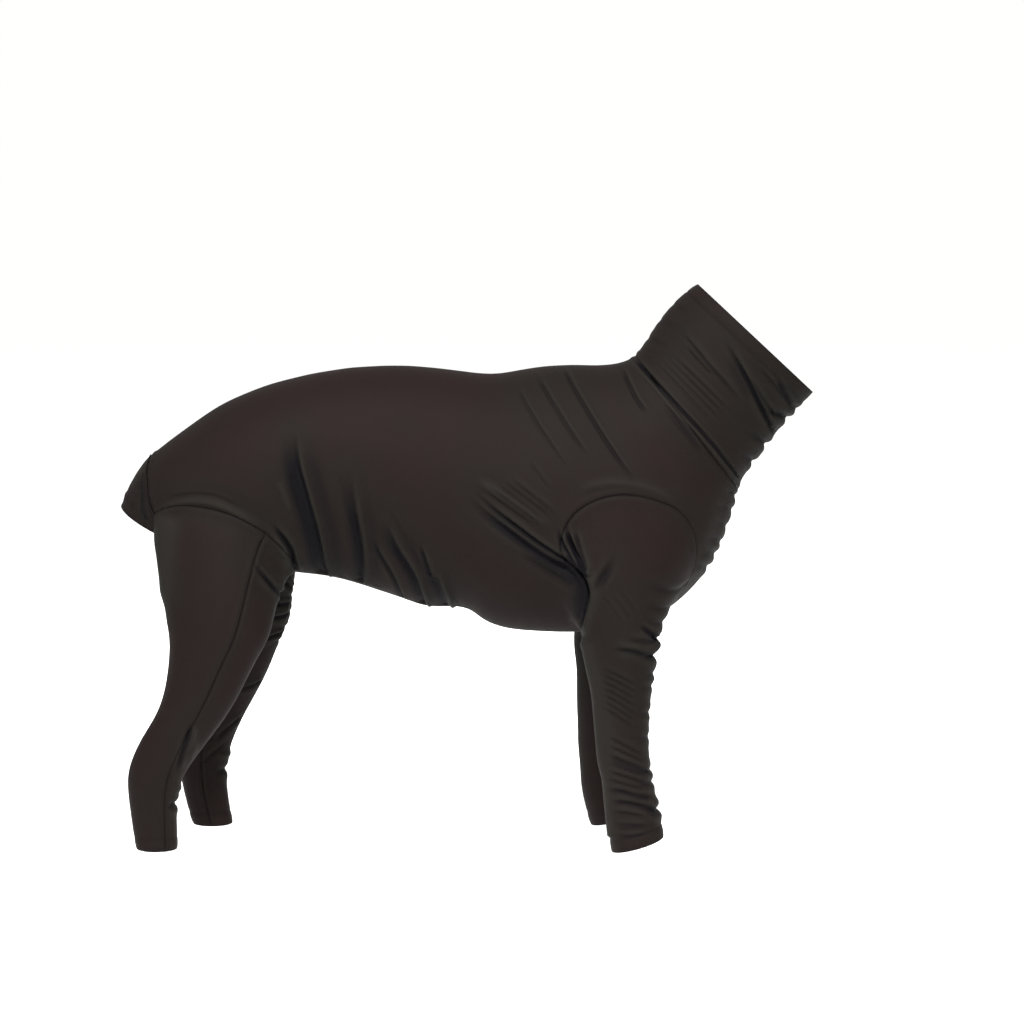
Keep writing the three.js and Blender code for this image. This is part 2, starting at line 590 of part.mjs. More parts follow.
const suit = new THREE.Group();
const normals = facing();
for (const panel of new Set(cloth.cells.map((c) => c.panel))) {
  const mesh = new THREE.Mesh(panelGeometry(panel, normals), knit());
  mesh.name = panel;
  suit.add(mesh);
}

export default suit;
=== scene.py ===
# %% [markdown]
# # A dog recovery suit in stretch knit
# The real suit is a body stocking: a trunk, a high neck tube, four sleeves and a flap over
# the tail, all cut from one dark jersey and sewn edge to edge. The solids of the packed
# model give every panel its place and size, so the model is loaded first, and its box is
# kept to compare with the finished cloth.

import math

import bpy
import numpy as np
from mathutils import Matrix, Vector, noise
from mathutils.bvhtree import BVHTree
from mathutils.kdtree import KDTree


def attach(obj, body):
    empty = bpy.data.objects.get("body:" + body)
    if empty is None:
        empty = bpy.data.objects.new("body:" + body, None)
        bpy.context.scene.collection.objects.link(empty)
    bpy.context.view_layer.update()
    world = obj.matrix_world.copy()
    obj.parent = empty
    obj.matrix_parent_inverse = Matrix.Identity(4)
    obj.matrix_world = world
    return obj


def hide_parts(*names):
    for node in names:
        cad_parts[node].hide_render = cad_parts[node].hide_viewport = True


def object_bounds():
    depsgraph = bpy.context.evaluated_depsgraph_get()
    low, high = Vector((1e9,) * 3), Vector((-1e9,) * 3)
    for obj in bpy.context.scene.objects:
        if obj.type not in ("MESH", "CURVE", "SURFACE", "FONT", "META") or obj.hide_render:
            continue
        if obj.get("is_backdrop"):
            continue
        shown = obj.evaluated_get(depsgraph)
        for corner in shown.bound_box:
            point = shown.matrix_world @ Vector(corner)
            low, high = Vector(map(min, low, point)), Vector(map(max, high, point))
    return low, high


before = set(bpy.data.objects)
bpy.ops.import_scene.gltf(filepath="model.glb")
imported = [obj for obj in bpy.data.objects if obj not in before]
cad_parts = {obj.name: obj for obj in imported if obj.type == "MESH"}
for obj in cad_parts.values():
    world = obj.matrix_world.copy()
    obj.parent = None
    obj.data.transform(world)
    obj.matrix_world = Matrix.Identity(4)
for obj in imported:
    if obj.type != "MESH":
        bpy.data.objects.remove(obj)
cad_lo, cad_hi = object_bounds()
suit_lo = np.array(cad_lo)
suit_size = np.array(cad_hi) - suit_lo
MM = 0.001
PANELS = sorted(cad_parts)
print("panels:", PANELS)
print("suit box, mm:", [round(v / MM) for v in suit_size])

# %% [markdown]
# ## Camera
# The suit is looked at square from its right side, a little from above, and from far
# enough away that the far legs stand just above the near ones. The lens follows from the
# width that one pixel covers at the middle of the suit, in an image 1024 pixels wide.

# %% Camera
IMAGE_WIDTH = 1024
PIXEL = 1.11 * MM
SENSOR = 36
DISTANCE = 3.64
LOOK_DOWN = math.radians(7)
AIM = Vector((-0.0695, 0, -0.162))

camera = bpy.data.cameras.new("camera")
camera.sensor_width = SENSOR
camera.lens = SENSOR * DISTANCE / (PIXEL * IMAGE_WIDTH)
viewer = bpy.data.objects.new("camera", camera)
bpy.context.scene.collection.objects.link(viewer)
viewer.location = AIM + DISTANCE * Vector((0, -math.cos(LOOK_DOWN), math.sin(LOOK_DOWN)))
viewer.rotation_euler = (math.pi / 2 - LOOK_DOWN, 0, 0)
bpy.context.scene.camera = viewer
print("lens, mm:", round(camera.lens, 1))

# %% [markdown]
# ## Floor and light
# A pale seamless floor and a pale surround stand in for a studio. Black cloth shows its
# folds only by soft highlights, so a strong soft lamp stands high above the camera and
# rakes down across them, a weaker one fills from the tail, and a third lights the far side
# without a gloss on the back. All are hooded, so that the floor throws less light on the
# belly.

# %% Floor and light
FLOOR_Z = -0.566
FLOOR_SIZE = 400
FLOOR_COLOUR = (1.0, 1.0, 0.998, 1)
SURROUND_COLOUR = (1.0, 1.0, 0.985, 1)
SPREAD = math.radians(70)
# name, place, width, watts, colour and whether it shows in the gloss
LAMPS = (
    ("key_high", (0.10, -2.5, 2.4), 1.0, 75, (1.0, 0.98, 0.95), True),
    ("fill_left", (-2.3, -2.2, 1.5), 1.2, 15, (0.97, 0.98, 1.0), True),
    ("far_side", (0.3, 3.2, 1.0), 1.2, 20, (1.0, 0.99, 0.97), False),
)

bpy.ops.object.select_all(action="DESELECT")
bpy.ops.mesh.primitive_plane_add(size=FLOOR_SIZE, location=(0, 0, FLOOR_Z))
floor = bpy.context.active_object
floor.name = "floor"
floor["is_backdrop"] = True

pale = bpy.data.materials.new("pale_floor")
pale.use_nodes = True
paint = pale.node_tree.nodes["Principled BSDF"].inputs
paint["Base Color"].default_value = FLOOR_COLOUR
paint["Specular IOR Level"].default_value = 0
floor.data.materials.append(pale)

surround = bpy.data.worlds.new("surround")
surround.use_nodes = True
sky = surround.node_tree.nodes["Background"].inputs
sky["Color"].default_value = SURROUND_COLOUR
sky["Strength"].default_value = 1.0
bpy.context.scene.world = surround
bpy.context.scene.view_settings.view_transform = "Standard"


def lamp(name, place, width, watts, colour, in_gloss):
    """A flat square lamp that faces the middle of the suit."""
    light = bpy.data.lights.new(name, "AREA")
    light.shape = "RECTANGLE"
    light.size = width
    light.size_y = width
    light.spread = SPREAD
    light.energy = watts
    light.color = colour
    holder = bpy.data.objects.new(name, light)
    bpy.context.scene.collection.objects.link(holder)
    holder.location = place
    holder.rotation_euler = (AIM - Vector(place)).to_track_quat("-Z", "Y").to_euler()
    holder.visible_glossy = in_gloss


for row in LAMPS:
    lamp(*row)
print("lamps:", [row[0] for row in LAMPS])

# %% [markdown]
# ## The outer skin of each panel
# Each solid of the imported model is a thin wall: an outer face, an inner face and a narrow
# rim between them. The rim's faces are the only ones with an edge as short as the cloth is
# thick. Take them away and the wall falls into two skins, and the larger one is outside.

# %% Outer skins
RIM_EDGE = 3.1 * MM


def deselect():
    bpy.ops.object.select_all(action="DESELECT")


def grab(*objs):
    """Selects these objects alone, the first one active."""
    deselect()
    for obj in objs:
        obj.select_set(True)
    bpy.context.view_layer.objects.active = objs[0]


def values_of(items, name, kind=float, width=1):
    """One property of all the vertices, edges, faces or corners of a mesh."""
    flat = np.empty(width * len(items), kind)
    items.foreach_get(name, flat)
    return flat.reshape(-1, width) if width > 1 else flat


def points_of(mesh):
    return values_of(mesh.vertices, "co", width=3)


def open_edges(mesh):
    """The edges that belong to one face alone."""
    uses = {}
    for face in mesh.polygons:
        for edge in face.edge_keys:
            uses[edge] = uses.get(edge, 0) + 1
    return [edge for edge, count in uses.items() if count == 1]


def outer_skin(node, number):
    """A copy of the solid's outer face, with a material of its own as its label."""
    skin = bpy.data.objects.new("skin_" + node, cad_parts[node].data.copy())
    bpy.context.scene.collection.objects.link(skin)
    skin.data.materials.clear()
    skin.data.materials.append(bpy.data.materials.new("panel_%d" % number))
    grab(skin)
    bpy.ops.object.mode_set(mode="EDIT")
    bpy.ops.mesh.select_mode(type="FACE")
    bpy.ops.mesh.select_all(action="SELECT")
    bpy.ops.mesh.remove_doubles(threshold=0.01 * MM)
    bpy.ops.object.mode_set(mode="OBJECT")
    mesh = skin.data
    co = points_of(mesh)
    for face in mesh.polygons:
        corners = co[list(face.vertices)]
        shortest = np.linalg.norm(corners - np.roll(corners, 1, 0), axis=1).min()
        face.select = bool(shortest < RIM_EDGE)
    bpy.ops.object.mode_set(mode="EDIT")
    bpy.ops.mesh.delete(type="FACE")
    bpy.ops.mesh.separate(type="LOOSE")
    bpy.ops.object.mode_set(mode="OBJECT")
    parts = list(bpy.context.selected_objects)
    parts.sort(key=lambda part: -sum(face.area for face in part.data.polygons))
    for part in parts[1:]:
        bpy.data.objects.remove(part)
    return parts[0]


skins = [outer_skin(node, number) for number, node in enumerate(PANELS)]
print("faces:", {s.name: len(s.data.polygons) for s in skins})

# %% [markdown]
# ## One skin, and a finer net
# Folds run across seams, so the panels are welded into one skin before any fold is
# pressed. Its triangles are paired back into squares, and Subdivision Surface rounds the
# net until its cells are two or three millimetres wide.

# %% Join, weld and subdivide
SEAM_WELD = 0.9 * MM
EDGE_WELD = 2.4 * MM
LEVELS = 3

grab(*skins)
bpy.ops.object.join()
skin = bpy.context.active_object
skin.name = "skin"
bpy.ops.object.mode_set(mode="EDIT")
bpy.ops.mesh.select_all(action="SELECT")
bpy.ops.mesh.remove_doubles(threshold=SEAM_WELD)
bpy.ops.mesh.select_mode(type="VERT")
bpy.ops.mesh.select_all(action="DESELECT")
bpy.ops.mesh.select_non_manifold(use_wire=False, use_multi_face=False, use_verts=False)
bpy.ops.mesh.remove_doubles(threshold=EDGE_WELD)
bpy.ops.mesh.select_all(action="SELECT")
bpy.ops.mesh.tris_convert_to_quads(face_threshold=math.pi, shape_threshold=math.pi, materials=True)
bpy.ops.object.mode_set(mode="OBJECT")
kinds = [len(face.vertices) for face in skin.data.polygons]
print("squares:", kinds.count(4), "triangles left:", kinds.count(3))


def open_rings(mesh):
    """The rings of open edges of a mesh, each a list of vertices."""
    beside = {}
    for a, b in open_edges(mesh):
        beside.setdefault(a, []).append(b)
        beside.setdefault(b, []).append(a)
    rings = []
    while beside:
        ring = [next(iter(beside))]
        for v in ring:
            ring += [n for n in beside.pop(v, []) if n in beside and n not in ring]
        rings.append(ring)
    return rings


co = points_of(skin.data)
for ring in open_rings(skin.data):
    middle = (co[ring].mean(0) / MM).round()
    print("open ring of", len(ring), "at", middle, "size", (np.ptp(co[ring], 0) / MM).round(1))

finer = skin.modifiers.new("finer", "SUBSURF")
finer.levels = LEVELS
finer.render_levels = LEVELS
bpy.ops.object.modifier_apply(modifier="finer")
print("fine faces:", len(skin.data.polygons))

# %% [markdown]
# A seam is sewn along a smooth curve, but in the net it turns a corner at each cell of the
# coarse wall. Its vertices are therefore averaged along the seam, the cloth on both sides
# follows, and everything is put back on the surface that it came from. Behind the right
# elbow the worn seam is pulled forward, so a strip of the sleeve's cloth there first goes
# to the trunk.

# %% Smooth the seam lines
SEAM_GUIDE = (0.635, 0.539, 0.645, 0.527, 0.662, 0.508, 0.671, 0.491, 0.676, 0.470,
              0.672, 0.450, 0.666, 0.423, 0.663, 0.387)
SMOOTH_ROUNDS = 70
FOLLOW_RINGS = 9
SMOOTH_STEP = 0.5


def panels_differ(mesh, item_of, count):
    """Which vertices or edges lie on two panels, from the item at each corner of a face."""
    label = values_of(mesh.polygons, "material_index", int)
    label = np.repeat(label, values_of(mesh.polygons, "loop_total", int))
    low = np.full(count, len(PANELS))
    high = np.full(count, -1)
    np.minimum.at(low, item_of, label)
    np.maximum.at(high, item_of, label)
    return low != high


def seam_edges(mesh):
    """Which edges have a different panel on each side, and which are open."""
    edge_of = values_of(mesh.loops, "edge_index", int)
    sewn = panels_differ(mesh, edge_of, len(mesh.edges))
    return sewn, np.bincount(edge_of, minlength=len(mesh.edges)) == 1


def ray_tree(mesh):
    """A search tree of a mesh's faces, for rays and nearest places."""
    corners = [tuple(face.vertices) for face in mesh.polygons]
    return BVHTree.FromPolygons([Vector(v) for v in points_of(mesh)], corners)


def mean_of_neighbours(co, pairs):
    """The mean of each vertex's neighbours along these edges, and how many it has."""
    total = np.zeros_like(co)
    count = np.zeros(len(co))
    for a, b in (pairs.T, pairs.T[::-1]):
        count += np.bincount(a, minlength=len(co))
        for k in range(3):
            total[:, k] += np.bincount(a, co[b, k], len(co))
    return total / np.maximum(count, 1)[:, None], count


faces = skin.data.polygons
panel_of_slot = [int(slot.name.split("_")[1]) for slot in skin.material_slots]
sleeve_slot = panel_of_slot.index(PANELS.index("front_sleeve_right"))
trunk_slot = panel_of_slot.index(PANELS.index("body_shell"))
slots = values_of(faces, "material_index", int)
place = (values_of(faces, "center", width=3) - suit_lo) / suit_size
outward = values_of(faces, "normal", width=3)[:, 1] < 0
guide = np.array(SEAM_GUIDE).reshape(-1, 2)[::-1]
behind = place[:, 0] < np.interp(place[:, 2], guide[:, 1], guide[:, 0])
level = (place[:, 2] > guide[0, 1]) & (place[:, 2] < guide[-1, 1])
moved = (slots == sleeve_slot) & outward & behind & level
slots[moved] = trunk_slot
faces.foreach_set("material_index", slots)
print("faces given to the trunk:", int(moved.sum()))

co = points_of(skin.data)
surface = ray_tree(skin.data)
pairs = values_of(skin.data.edges, "vertices", int, 2)
sewn, opened = seam_edges(skin.data)
on_seam = np.zeros(len(co), bool)
on_seam[pairs[sewn]] = True
free = on_seam.copy()
for _ in range(FOLLOW_RINGS):
    free[pairs[free[pairs].any(1)]] = True
free[pairs[opened]] = False
_, seam_count = mean_of_neighbours(co, pairs[sewn])
free[on_seam & (seam_count != 2)] = False
around = pairs[free[pairs].any(1)]
for _ in range(SMOOTH_ROUNDS):
    along, _ = mean_of_neighbours(co, pairs[sewn])
    beside, _ = mean_of_neighbours(co, around)
    goal = np.where(on_seam[:, None], along, beside)
    co[free] += SMOOTH_STEP * (goal - co)[free]
for number in np.nonzero(free)[0]:
    co[number] = surface.find_nearest(Vector(co[number]))[0]
skin.data.vertices.foreach_set("co", co.ravel())
skin.data.update()
print("vertices moved to smooth the seams:", int(free.sum()), "of", len(co))

# %% [markdown]
# ## Where the folds run
# Stretch cloth folds where it has spare length: behind the elbow, from the armpit back
# along the ribs, in front of the thigh, and in rings down the sleeves. Each fold is a line
# on the side of the suit, given in shares of the suit's box (along its length, then up its
# height), with a profile: how high, how far across and how wide each ridge or groove is.

# %% Profiles of the folds
# height, place across the line (left of its direction is plus) and width, in millimetres
PROFILES = {
    "crease": ((-2.4, 0, 1.9), (1.6, 4.5, 3.2), (0.8, -6.0, 4.0)),
    "flank": ((-2.8, -1, 2.2), (-3.4, -8, 6.0), (2.4, 4.0, 3.2), (-1.2, 15, 6.0)),
    "drag": ((-2.6, 0, 1.7), (1.6, 4.5, 3.0), (-1.7, -10, 4.5), (2.0, -4.4, 2.4), (0.9, -17, 4.0)),
    "valley": ((-2.2, 0, 4.0), (1.2, 7, 4.0), (1.0, -7, 4.0)),
    "overlap": ((-3.2, -1, 2.2), (3.0, 6, 5.5), (-3.0, -9, 7.0)),
    "soft_ridge": ((2.0, 0, 4.5), (-0.5, 9, 5.0), (-0.5, -9, 5.0)),
    "belly": ((2.6, 0, 3.6), (-3.2, -8, 4.6), (-0.9, 9, 5.0)),
    "thin": ((-1.3, 0, 1.6), (0.9, 4, 3.0)),
    "line": ((-0.7, 0, 1.4), (0.5, 3.5, 2.2)),
    "ring": ((-2.0, 0, 2.2), (1.4, 6, 4.0), (0.8, -6, 4.0)),
    "fine_ring": ((-0.9, 0, 1.6), (0.8, 3.8, 2.4)),
    "ring_soft": ((-0.9, 0, 2.2), (0.7, 5, 3.2), (0.4, -5, 3.2)),
    "notch": ((-3.2, 0, 3.0), (1.4, 8, 4.5), (1.4, -8, 4.5)),
    "notch_soft": ((-1.5, 0, 2.6), (0.8, 7, 4.0), (0.8, -7, 4.0)),
    "welt": ((-2.6, 0, 1.4), (1.2, 3.8, 2.2), (1.4, -4.4, 3.0)),
    "bump": ((2.6, 0, 4.5),),
    "swell": ((6.0, 0, 19.0),),
}

# %% [markdown]
# Most folds are on the right side, where the suit is seen. Each is listed with a name, a
# profile, a strength and the pairs of shares that it runs through. The last pair, where
# there is one, gives the parts of the line over which it fades in and out. Without it both
# ends are soft.

# %% Folds on the right side
SOFT_ENDS = (0.22, 0.22)
RIGHT = (
    ("flank_crease", "flank", 1.45,
     (0.257, 0.755, 0.264, 0.690, 0.271, 0.659, 0.280, 0.616, 0.289, 0.572, 0.297, 0.502,
      0.300, 0.481), (0.35, 0.02)),
    ("flank_faint", "soft_ridge", 0.7, (0.236, 0.665, 0.245, 0.640, 0.253, 0.605)),
    ("thigh_pinch", "crease", 1.5,
     (0.222, 0.592, 0.237, 0.567, 0.248, 0.547, 0.253, 0.526, 0.255, 0.495), (0.4, 0.02)),
    ("thigh_pinch_ridge", "soft_ridge", 0.8,
     (0.222, 0.570, 0.236, 0.550, 0.243, 0.528, 0.242, 0.500), (0.3, 0.1)),
    ("thigh_crease", "crease", 1.3,
     (0.197, 0.526, 0.214, 0.494, 0.229, 0.466, 0.242, 0.444), (0.5, 0.02)),
    ("hip_band", "soft_ridge", 0.9,
     (0.054, 0.597, 0.081, 0.620, 0.114, 0.628, 0.143, 0.626, 0.167, 0.614, 0.195, 0.592,
      0.215, 0.575)),
    ("hip_line", "line", 1.0,
     (0.068, 0.625, 0.090, 0.634, 0.120, 0.640, 0.150, 0.636, 0.172, 0.622, 0.192, 0.608)),
    ("tail_crease", "crease", 0.9, (0.036, 0.672, 0.038, 0.629, 0.043, 0.585), (0.3, 0.05)),
    ("belly_1", "belly", 1.35,
     (0.343, 0.690, 0.346, 0.638, 0.351, 0.594, 0.356, 0.561, 0.358, 0.528, 0.357, 0.484,
      0.357, 0.467), (0.5, 0.02)),
    ("belly_1_line", "line", 1.0, (0.322, 0.680, 0.328, 0.640, 0.334, 0.600)),
    ("belly_2", "crease", 1.1,
     (0.364, 0.562, 0.375, 0.535, 0.387, 0.508, 0.397, 0.484, 0.408, 0.442), (0.3, 0.02)),
    ("belly_3", "belly", 1.35,
     (0.388, 0.600, 0.397, 0.573, 0.408, 0.545, 0.422, 0.518, 0.434, 0.489, 0.443, 0.450,
      0.447, 0.427), (0.4, 0.02)),
    ("belly_3_line", "line", 1.0, (0.392, 0.615, 0.404, 0.585, 0.414, 0.560)),
    ("belly_4", "crease", 1.1, (0.433, 0.555, 0.437, 0.542, 0.444, 0.514, 0.450, 0.487), (0.4, 0.1)),
    ("belly_5", "belly", 1.1,
     (0.459, 0.510, 0.464, 0.487, 0.471, 0.467, 0.477, 0.444, 0.480, 0.425), (0.4, 0.02)),
    ("armpit_drag", "drag", 1.15,
     (0.504, 0.656, 0.525, 0.632, 0.547, 0.609, 0.571, 0.588, 0.597, 0.563, 0.622, 0.542,
      0.645, 0.527), (0.45, 0.02)),
    ("armpit_overlap", "overlap", 1.2,
     (0.628, 0.545, 0.645, 0.527, 0.662, 0.508, 0.671, 0.491, 0.675, 0.470, 0.671, 0.448,
      0.667, 0.423, 0.664, 0.396), (0.25, 0.15)),
    ("armpit_low", "valley", 0.6,
     (0.510, 0.618, 0.545, 0.588, 0.585, 0.552, 0.625, 0.520, 0.655, 0.498), (0.4, 0.05)),
    ("armpit_third", "valley", 0.7, (0.575, 0.545, 0.617, 0.508, 0.650, 0.482), (0.4, 0.05)),
    ("armpit_high", "soft_ridge", 0.9, (0.511, 0.672, 0.555, 0.640, 0.590, 0.612, 0.626, 0.582)),
    ("sleeve_root_1", "crease", 1.3,
     (0.630, 0.590, 0.633, 0.568, 0.643, 0.545, 0.656, 0.522, 0.667, 0.500), (0.3, 0.02)),
    ("sleeve_root_2", "crease", 1.8,
     (0.640, 0.592, 0.645, 0.570, 0.655, 0.545, 0.665, 0.520, 0.671, 0.500), (0.3, 0.02)),
    ("sleeve_root_3", "thin", 1.8, (0.652, 0.585, 0.659, 0.558, 0.667, 0.530, 0.673, 0.508), (0.3, 0.1)),
    ("sleeve_root_4", "valley", 1.0,
     (0.712, 0.540, 0.704, 0.518, 0.692, 0.494, 0.678, 0.466), (0.5, 0.5)),
    ("sleeve_root_5", "thin", 1.0, (0.648, 0.575, 0.650, 0.555, 0.658, 0.530), (0.4, 0.3)),
    ("shoulder_drag_1", "thin", 1.6,
     (0.634, 0.862, 0.666, 0.796, 0.694, 0.741, 0.723, 0.689, 0.748, 0.650), (0.08, 0.35)),
    ("shoulder_drag_2", "thin", 1.3,
     (0.600, 0.842, 0.631, 0.783, 0.652, 0.742, 0.680, 0.696), (0.12, 0.35)),
    ("shoulder_drag_3", "fine_ring", 1.3,
     (0.570, 0.826, 0.601, 0.763, 0.622, 0.725, 0.650, 0.676), (0.15, 0.4)),
    ("shoulder_drag_4", "line", 1.2, (0.590, 0.700, 0.606, 0.672, 0.620, 0.650)),
    ("sleeve_cap_ridge", "soft_ridge", 0.7,
     (0.655, 0.648, 0.690, 0.664, 0.730, 0.664, 0.775, 0.648, 0.805, 0.622)),
    ("neck_root_line", "welt", 1.25,
     (0.740, 0.868, 0.772, 0.829, 0.803, 0.788, 0.830, 0.753, 0.851, 0.724, 0.872, 0.690,
      0.893, 0.655), (0.05, 0.05)),
    ("collar_crease", "thin", 1.7, (0.722, 0.855, 0.731, 0.829, 0.741, 0.804, 0.758, 0.778)),
    ("neck_fold_1", "thin", 1.1,
     (0.800, 0.925, 0.820, 0.898, 0.844, 0.862, 0.870, 0.828, 0.900, 0.782), (0.3, 0.4)),
    ("neck_fold_1_line", "thin", 0.8, (0.812, 0.893, 0.830, 0.868, 0.850, 0.843)),
    ("neck_fold_2", "crease", 1.35,
     (0.863, 0.908, 0.881, 0.875, 0.900, 0.835, 0.918, 0.792, 0.932, 0.758, 0.941, 0.738),
     (0.4, 0.05)),
    ("neck_fold_2_side", "valley", 0.45, (0.868, 0.880, 0.888, 0.838, 0.908, 0.792), (0.4, 0.3)),
    ("neck_fold_3", "thin", 1.0, (0.911, 0.866, 0.934, 0.831, 0.962, 0.794), (0.4, 0.1)),
    ("neck_fold_5", "thin", 1.1, (0.900, 0.850, 0.920, 0.805, 0.943, 0.766), (0.4, 0.1)),
    ("neck_fold_4", "crease", 1.0, (0.940, 0.840, 0.953, 0.814, 0.964, 0.790), (0.3, 0.05)),
    ("elbow_1", "ring", 1.1, (0.704, 0.372, 0.735, 0.370, 0.751, 0.362, 0.772, 0.354), (0.35, 0.02)),
    ("elbow_2", "crease", 1.2, (0.745, 0.415, 0.757, 0.405, 0.772, 0.384), (0.4, 0.02)),
    ("elbow_3", "ring_soft", 1.4, (0.725, 0.390, 0.754, 0.385, 0.772, 0.378), (0.4, 0.02)),
    ("sleeve_slant_4", "ring", 0.8, (0.700, 0.179, 0.719, 0.170, 0.739, 0.159, 0.765, 0.146), (0.3, 0.05)),
    ("sleeve_slant_5", "ring", 1.1, (0.701, 0.119, 0.720, 0.117, 0.740, 0.109, 0.762, 0.103), (0.3, 0.05)),
    ("sleeve_slant_6", "ring", 1.1, (0.708, 0.098, 0.725, 0.097, 0.744, 0.093, 0.766, 0.083), (0.3, 0.05)),
    ("cuff_fold", "ring_soft", 1.1, (0.715, 0.050, 0.744, 0.050, 0.765, 0.056)),
    ("hock_ridge", "soft_ridge", 0.8, (0.117, 0.240, 0.113, 0.210, 0.112, 0.176)),
    ("knee_valley", "crease", 1.0, (0.112, 0.240, 0.100, 0.196, 0.087, 0.150)),
)
print("folds on the right:", len(RIGHT))

# %% [markdown]
# Fine drag lines come in families: near the armpit, beside the neck seam and down the front
# sleeve they lie side by side like combed hair. A family is given by its first and last
# line, and the lines between them are worked out.

# %% Families of fine lines
FINE_ENDS = (0.3, 0.3)
# name, profile, strength, how many, first line, last line
FAMILIES = (
    ("armpit_lines", "fine_ring", 1.3, 5, (0.520, 0.655, 0.560, 0.620, 0.600, 0.585),
     (0.560, 0.672, 0.600, 0.636, 0.632, 0.604)),
    ("neck_seam_lines", "fine_ring", 1.1, 4, (0.775, 0.800, 0.806, 0.764, 0.836, 0.728),
     (0.790, 0.770, 0.815, 0.740, 0.840, 0.700)),
    ("neck_lines", "line", 1.3, 4, (0.763, 0.873, 0.817, 0.807, 0.863, 0.747),
     (0.786, 0.886, 0.837, 0.827, 0.883, 0.771)),
    ("sleeve_upper_lines", "fine_ring", 1.3, 7, (0.690, 0.340, 0.716, 0.326, 0.745, 0.306),
     (0.690, 0.272, 0.716, 0.252, 0.745, 0.226)),
    ("sleeve_lower_lines", "fine_ring", 1.7, 6, (0.700, 0.216, 0.726, 0.200, 0.755, 0.180),
     (0.700, 0.140, 0.726, 0.130, 0.760, 0.118)),
    ("cuff_lines", "fine_ring", 1.4, 3, (0.708, 0.080, 0.732, 0.078, 0.758, 0.070),
     (0.714, 0.038, 0.738, 0.036, 0.762, 0.042)),
    ("sleeve_top_lines", "line", 0.8, 3, (0.690, 0.470, 0.710, 0.440, 0.725, 0.410),
     (0.715, 0.480, 0.735, 0.450, 0.750, 0.425)),
)


def family(row):
    """The single folds of one family."""
    name, profile, strength, count, first, last = row
    rows = []
    for k in range(count):
        share = k / (count - 1)
        points = tuple(a + share * (b - a) for a, b in zip(first, last))
        rows.append(("%s_%d" % (name, k), profile, strength, points, FINE_ENDS))
    return rows


FINE = tuple(row for group in FAMILIES for row in family(group))
print("fine lines:", len(FINE))

# %% [markdown]
# The far side of such a suit isn't the mirror of the near one, but it folds for the same
# reasons in the same places. Its folds are therefore written out again with fewer lines
# and places of their own. The chest and the fronts of the sleeves are gathered into short
# rings, which give the front outline its scallops. They're given from the front, as shares
# of the width and the height.

# %% Folds on the left side, the front and the legs
LEFT = (
    ("left_flank", "flank", -0.8, (0.262, 0.740, 0.270, 0.670, 0.283, 0.600, 0.296, 0.515)),
    ("left_thigh", "crease", -1.1, (0.222, 0.585, 0.238, 0.560, 0.250, 0.520)),
    ("left_hip", "soft_ridge", 0.7, (0.060, 0.600, 0.100, 0.622, 0.140, 0.622, 0.180, 0.602)),
    ("left_belly_1", "belly", -0.8, (0.350, 0.620, 0.356, 0.570, 0.360, 0.510)),
    ("left_belly_2", "belly", -0.9, (0.402, 0.560, 0.420, 0.515, 0.432, 0.470)),
    ("left_armpit", "drag", -1.0,
     (0.515, 0.640, 0.550, 0.605, 0.590, 0.570, 0.630, 0.538), (0.3, 0.1)),
    ("left_overlap", "overlap", -0.8, (0.615, 0.550, 0.634, 0.525, 0.645, 0.495, 0.642, 0.455, 0.634, 0.410)),
    ("left_armpit_low", "valley", -0.8, (0.540, 0.590, 0.585, 0.545, 0.635, 0.507)),
    ("left_armpit_high", "soft_ridge", 0.8, (0.520, 0.668, 0.560, 0.640, 0.610, 0.600)),
    ("left_shoulder_1", "thin", -1.0, (0.645, 0.835, 0.675, 0.775, 0.705, 0.720, 0.735, 0.672)),
    ("left_shoulder_2", "thin", -0.8, (0.600, 0.815, 0.628, 0.770, 0.655, 0.725)),
    ("left_neck_line", "welt", -1.0,
     (0.740, 0.868, 0.776, 0.830, 0.810, 0.788, 0.838, 0.757, 0.858, 0.730, 0.876, 0.698,
      0.893, 0.658), (0.05, 0.05)),
    ("left_neck_1", "crease", -0.8, (0.815, 0.905, 0.838, 0.870, 0.868, 0.832)),
    ("left_neck_2", "flank", -0.7, (0.870, 0.890, 0.896, 0.845, 0.918, 0.800, 0.934, 0.765)),
    ("left_elbow", "ring", 1.3, (0.680, 0.372, 0.708, 0.372, 0.740, 0.360)),
    ("left_slant_1", "ring_soft", 1.2, (0.672, 0.318, 0.696, 0.306, 0.722, 0.286)),
    ("left_slant_2", "ring_soft", 1.2, (0.674, 0.262, 0.696, 0.250, 0.720, 0.230)),
    ("left_slant_3", "ring", 1.0, (0.674, 0.186, 0.702, 0.172, 0.732, 0.152)),
    ("left_slant_4", "ring", 1.0, (0.676, 0.122, 0.702, 0.114, 0.730, 0.104)),
    ("left_hock", "crease", -0.9, (0.128, 0.230, 0.120, 0.196, 0.110, 0.160)),
)
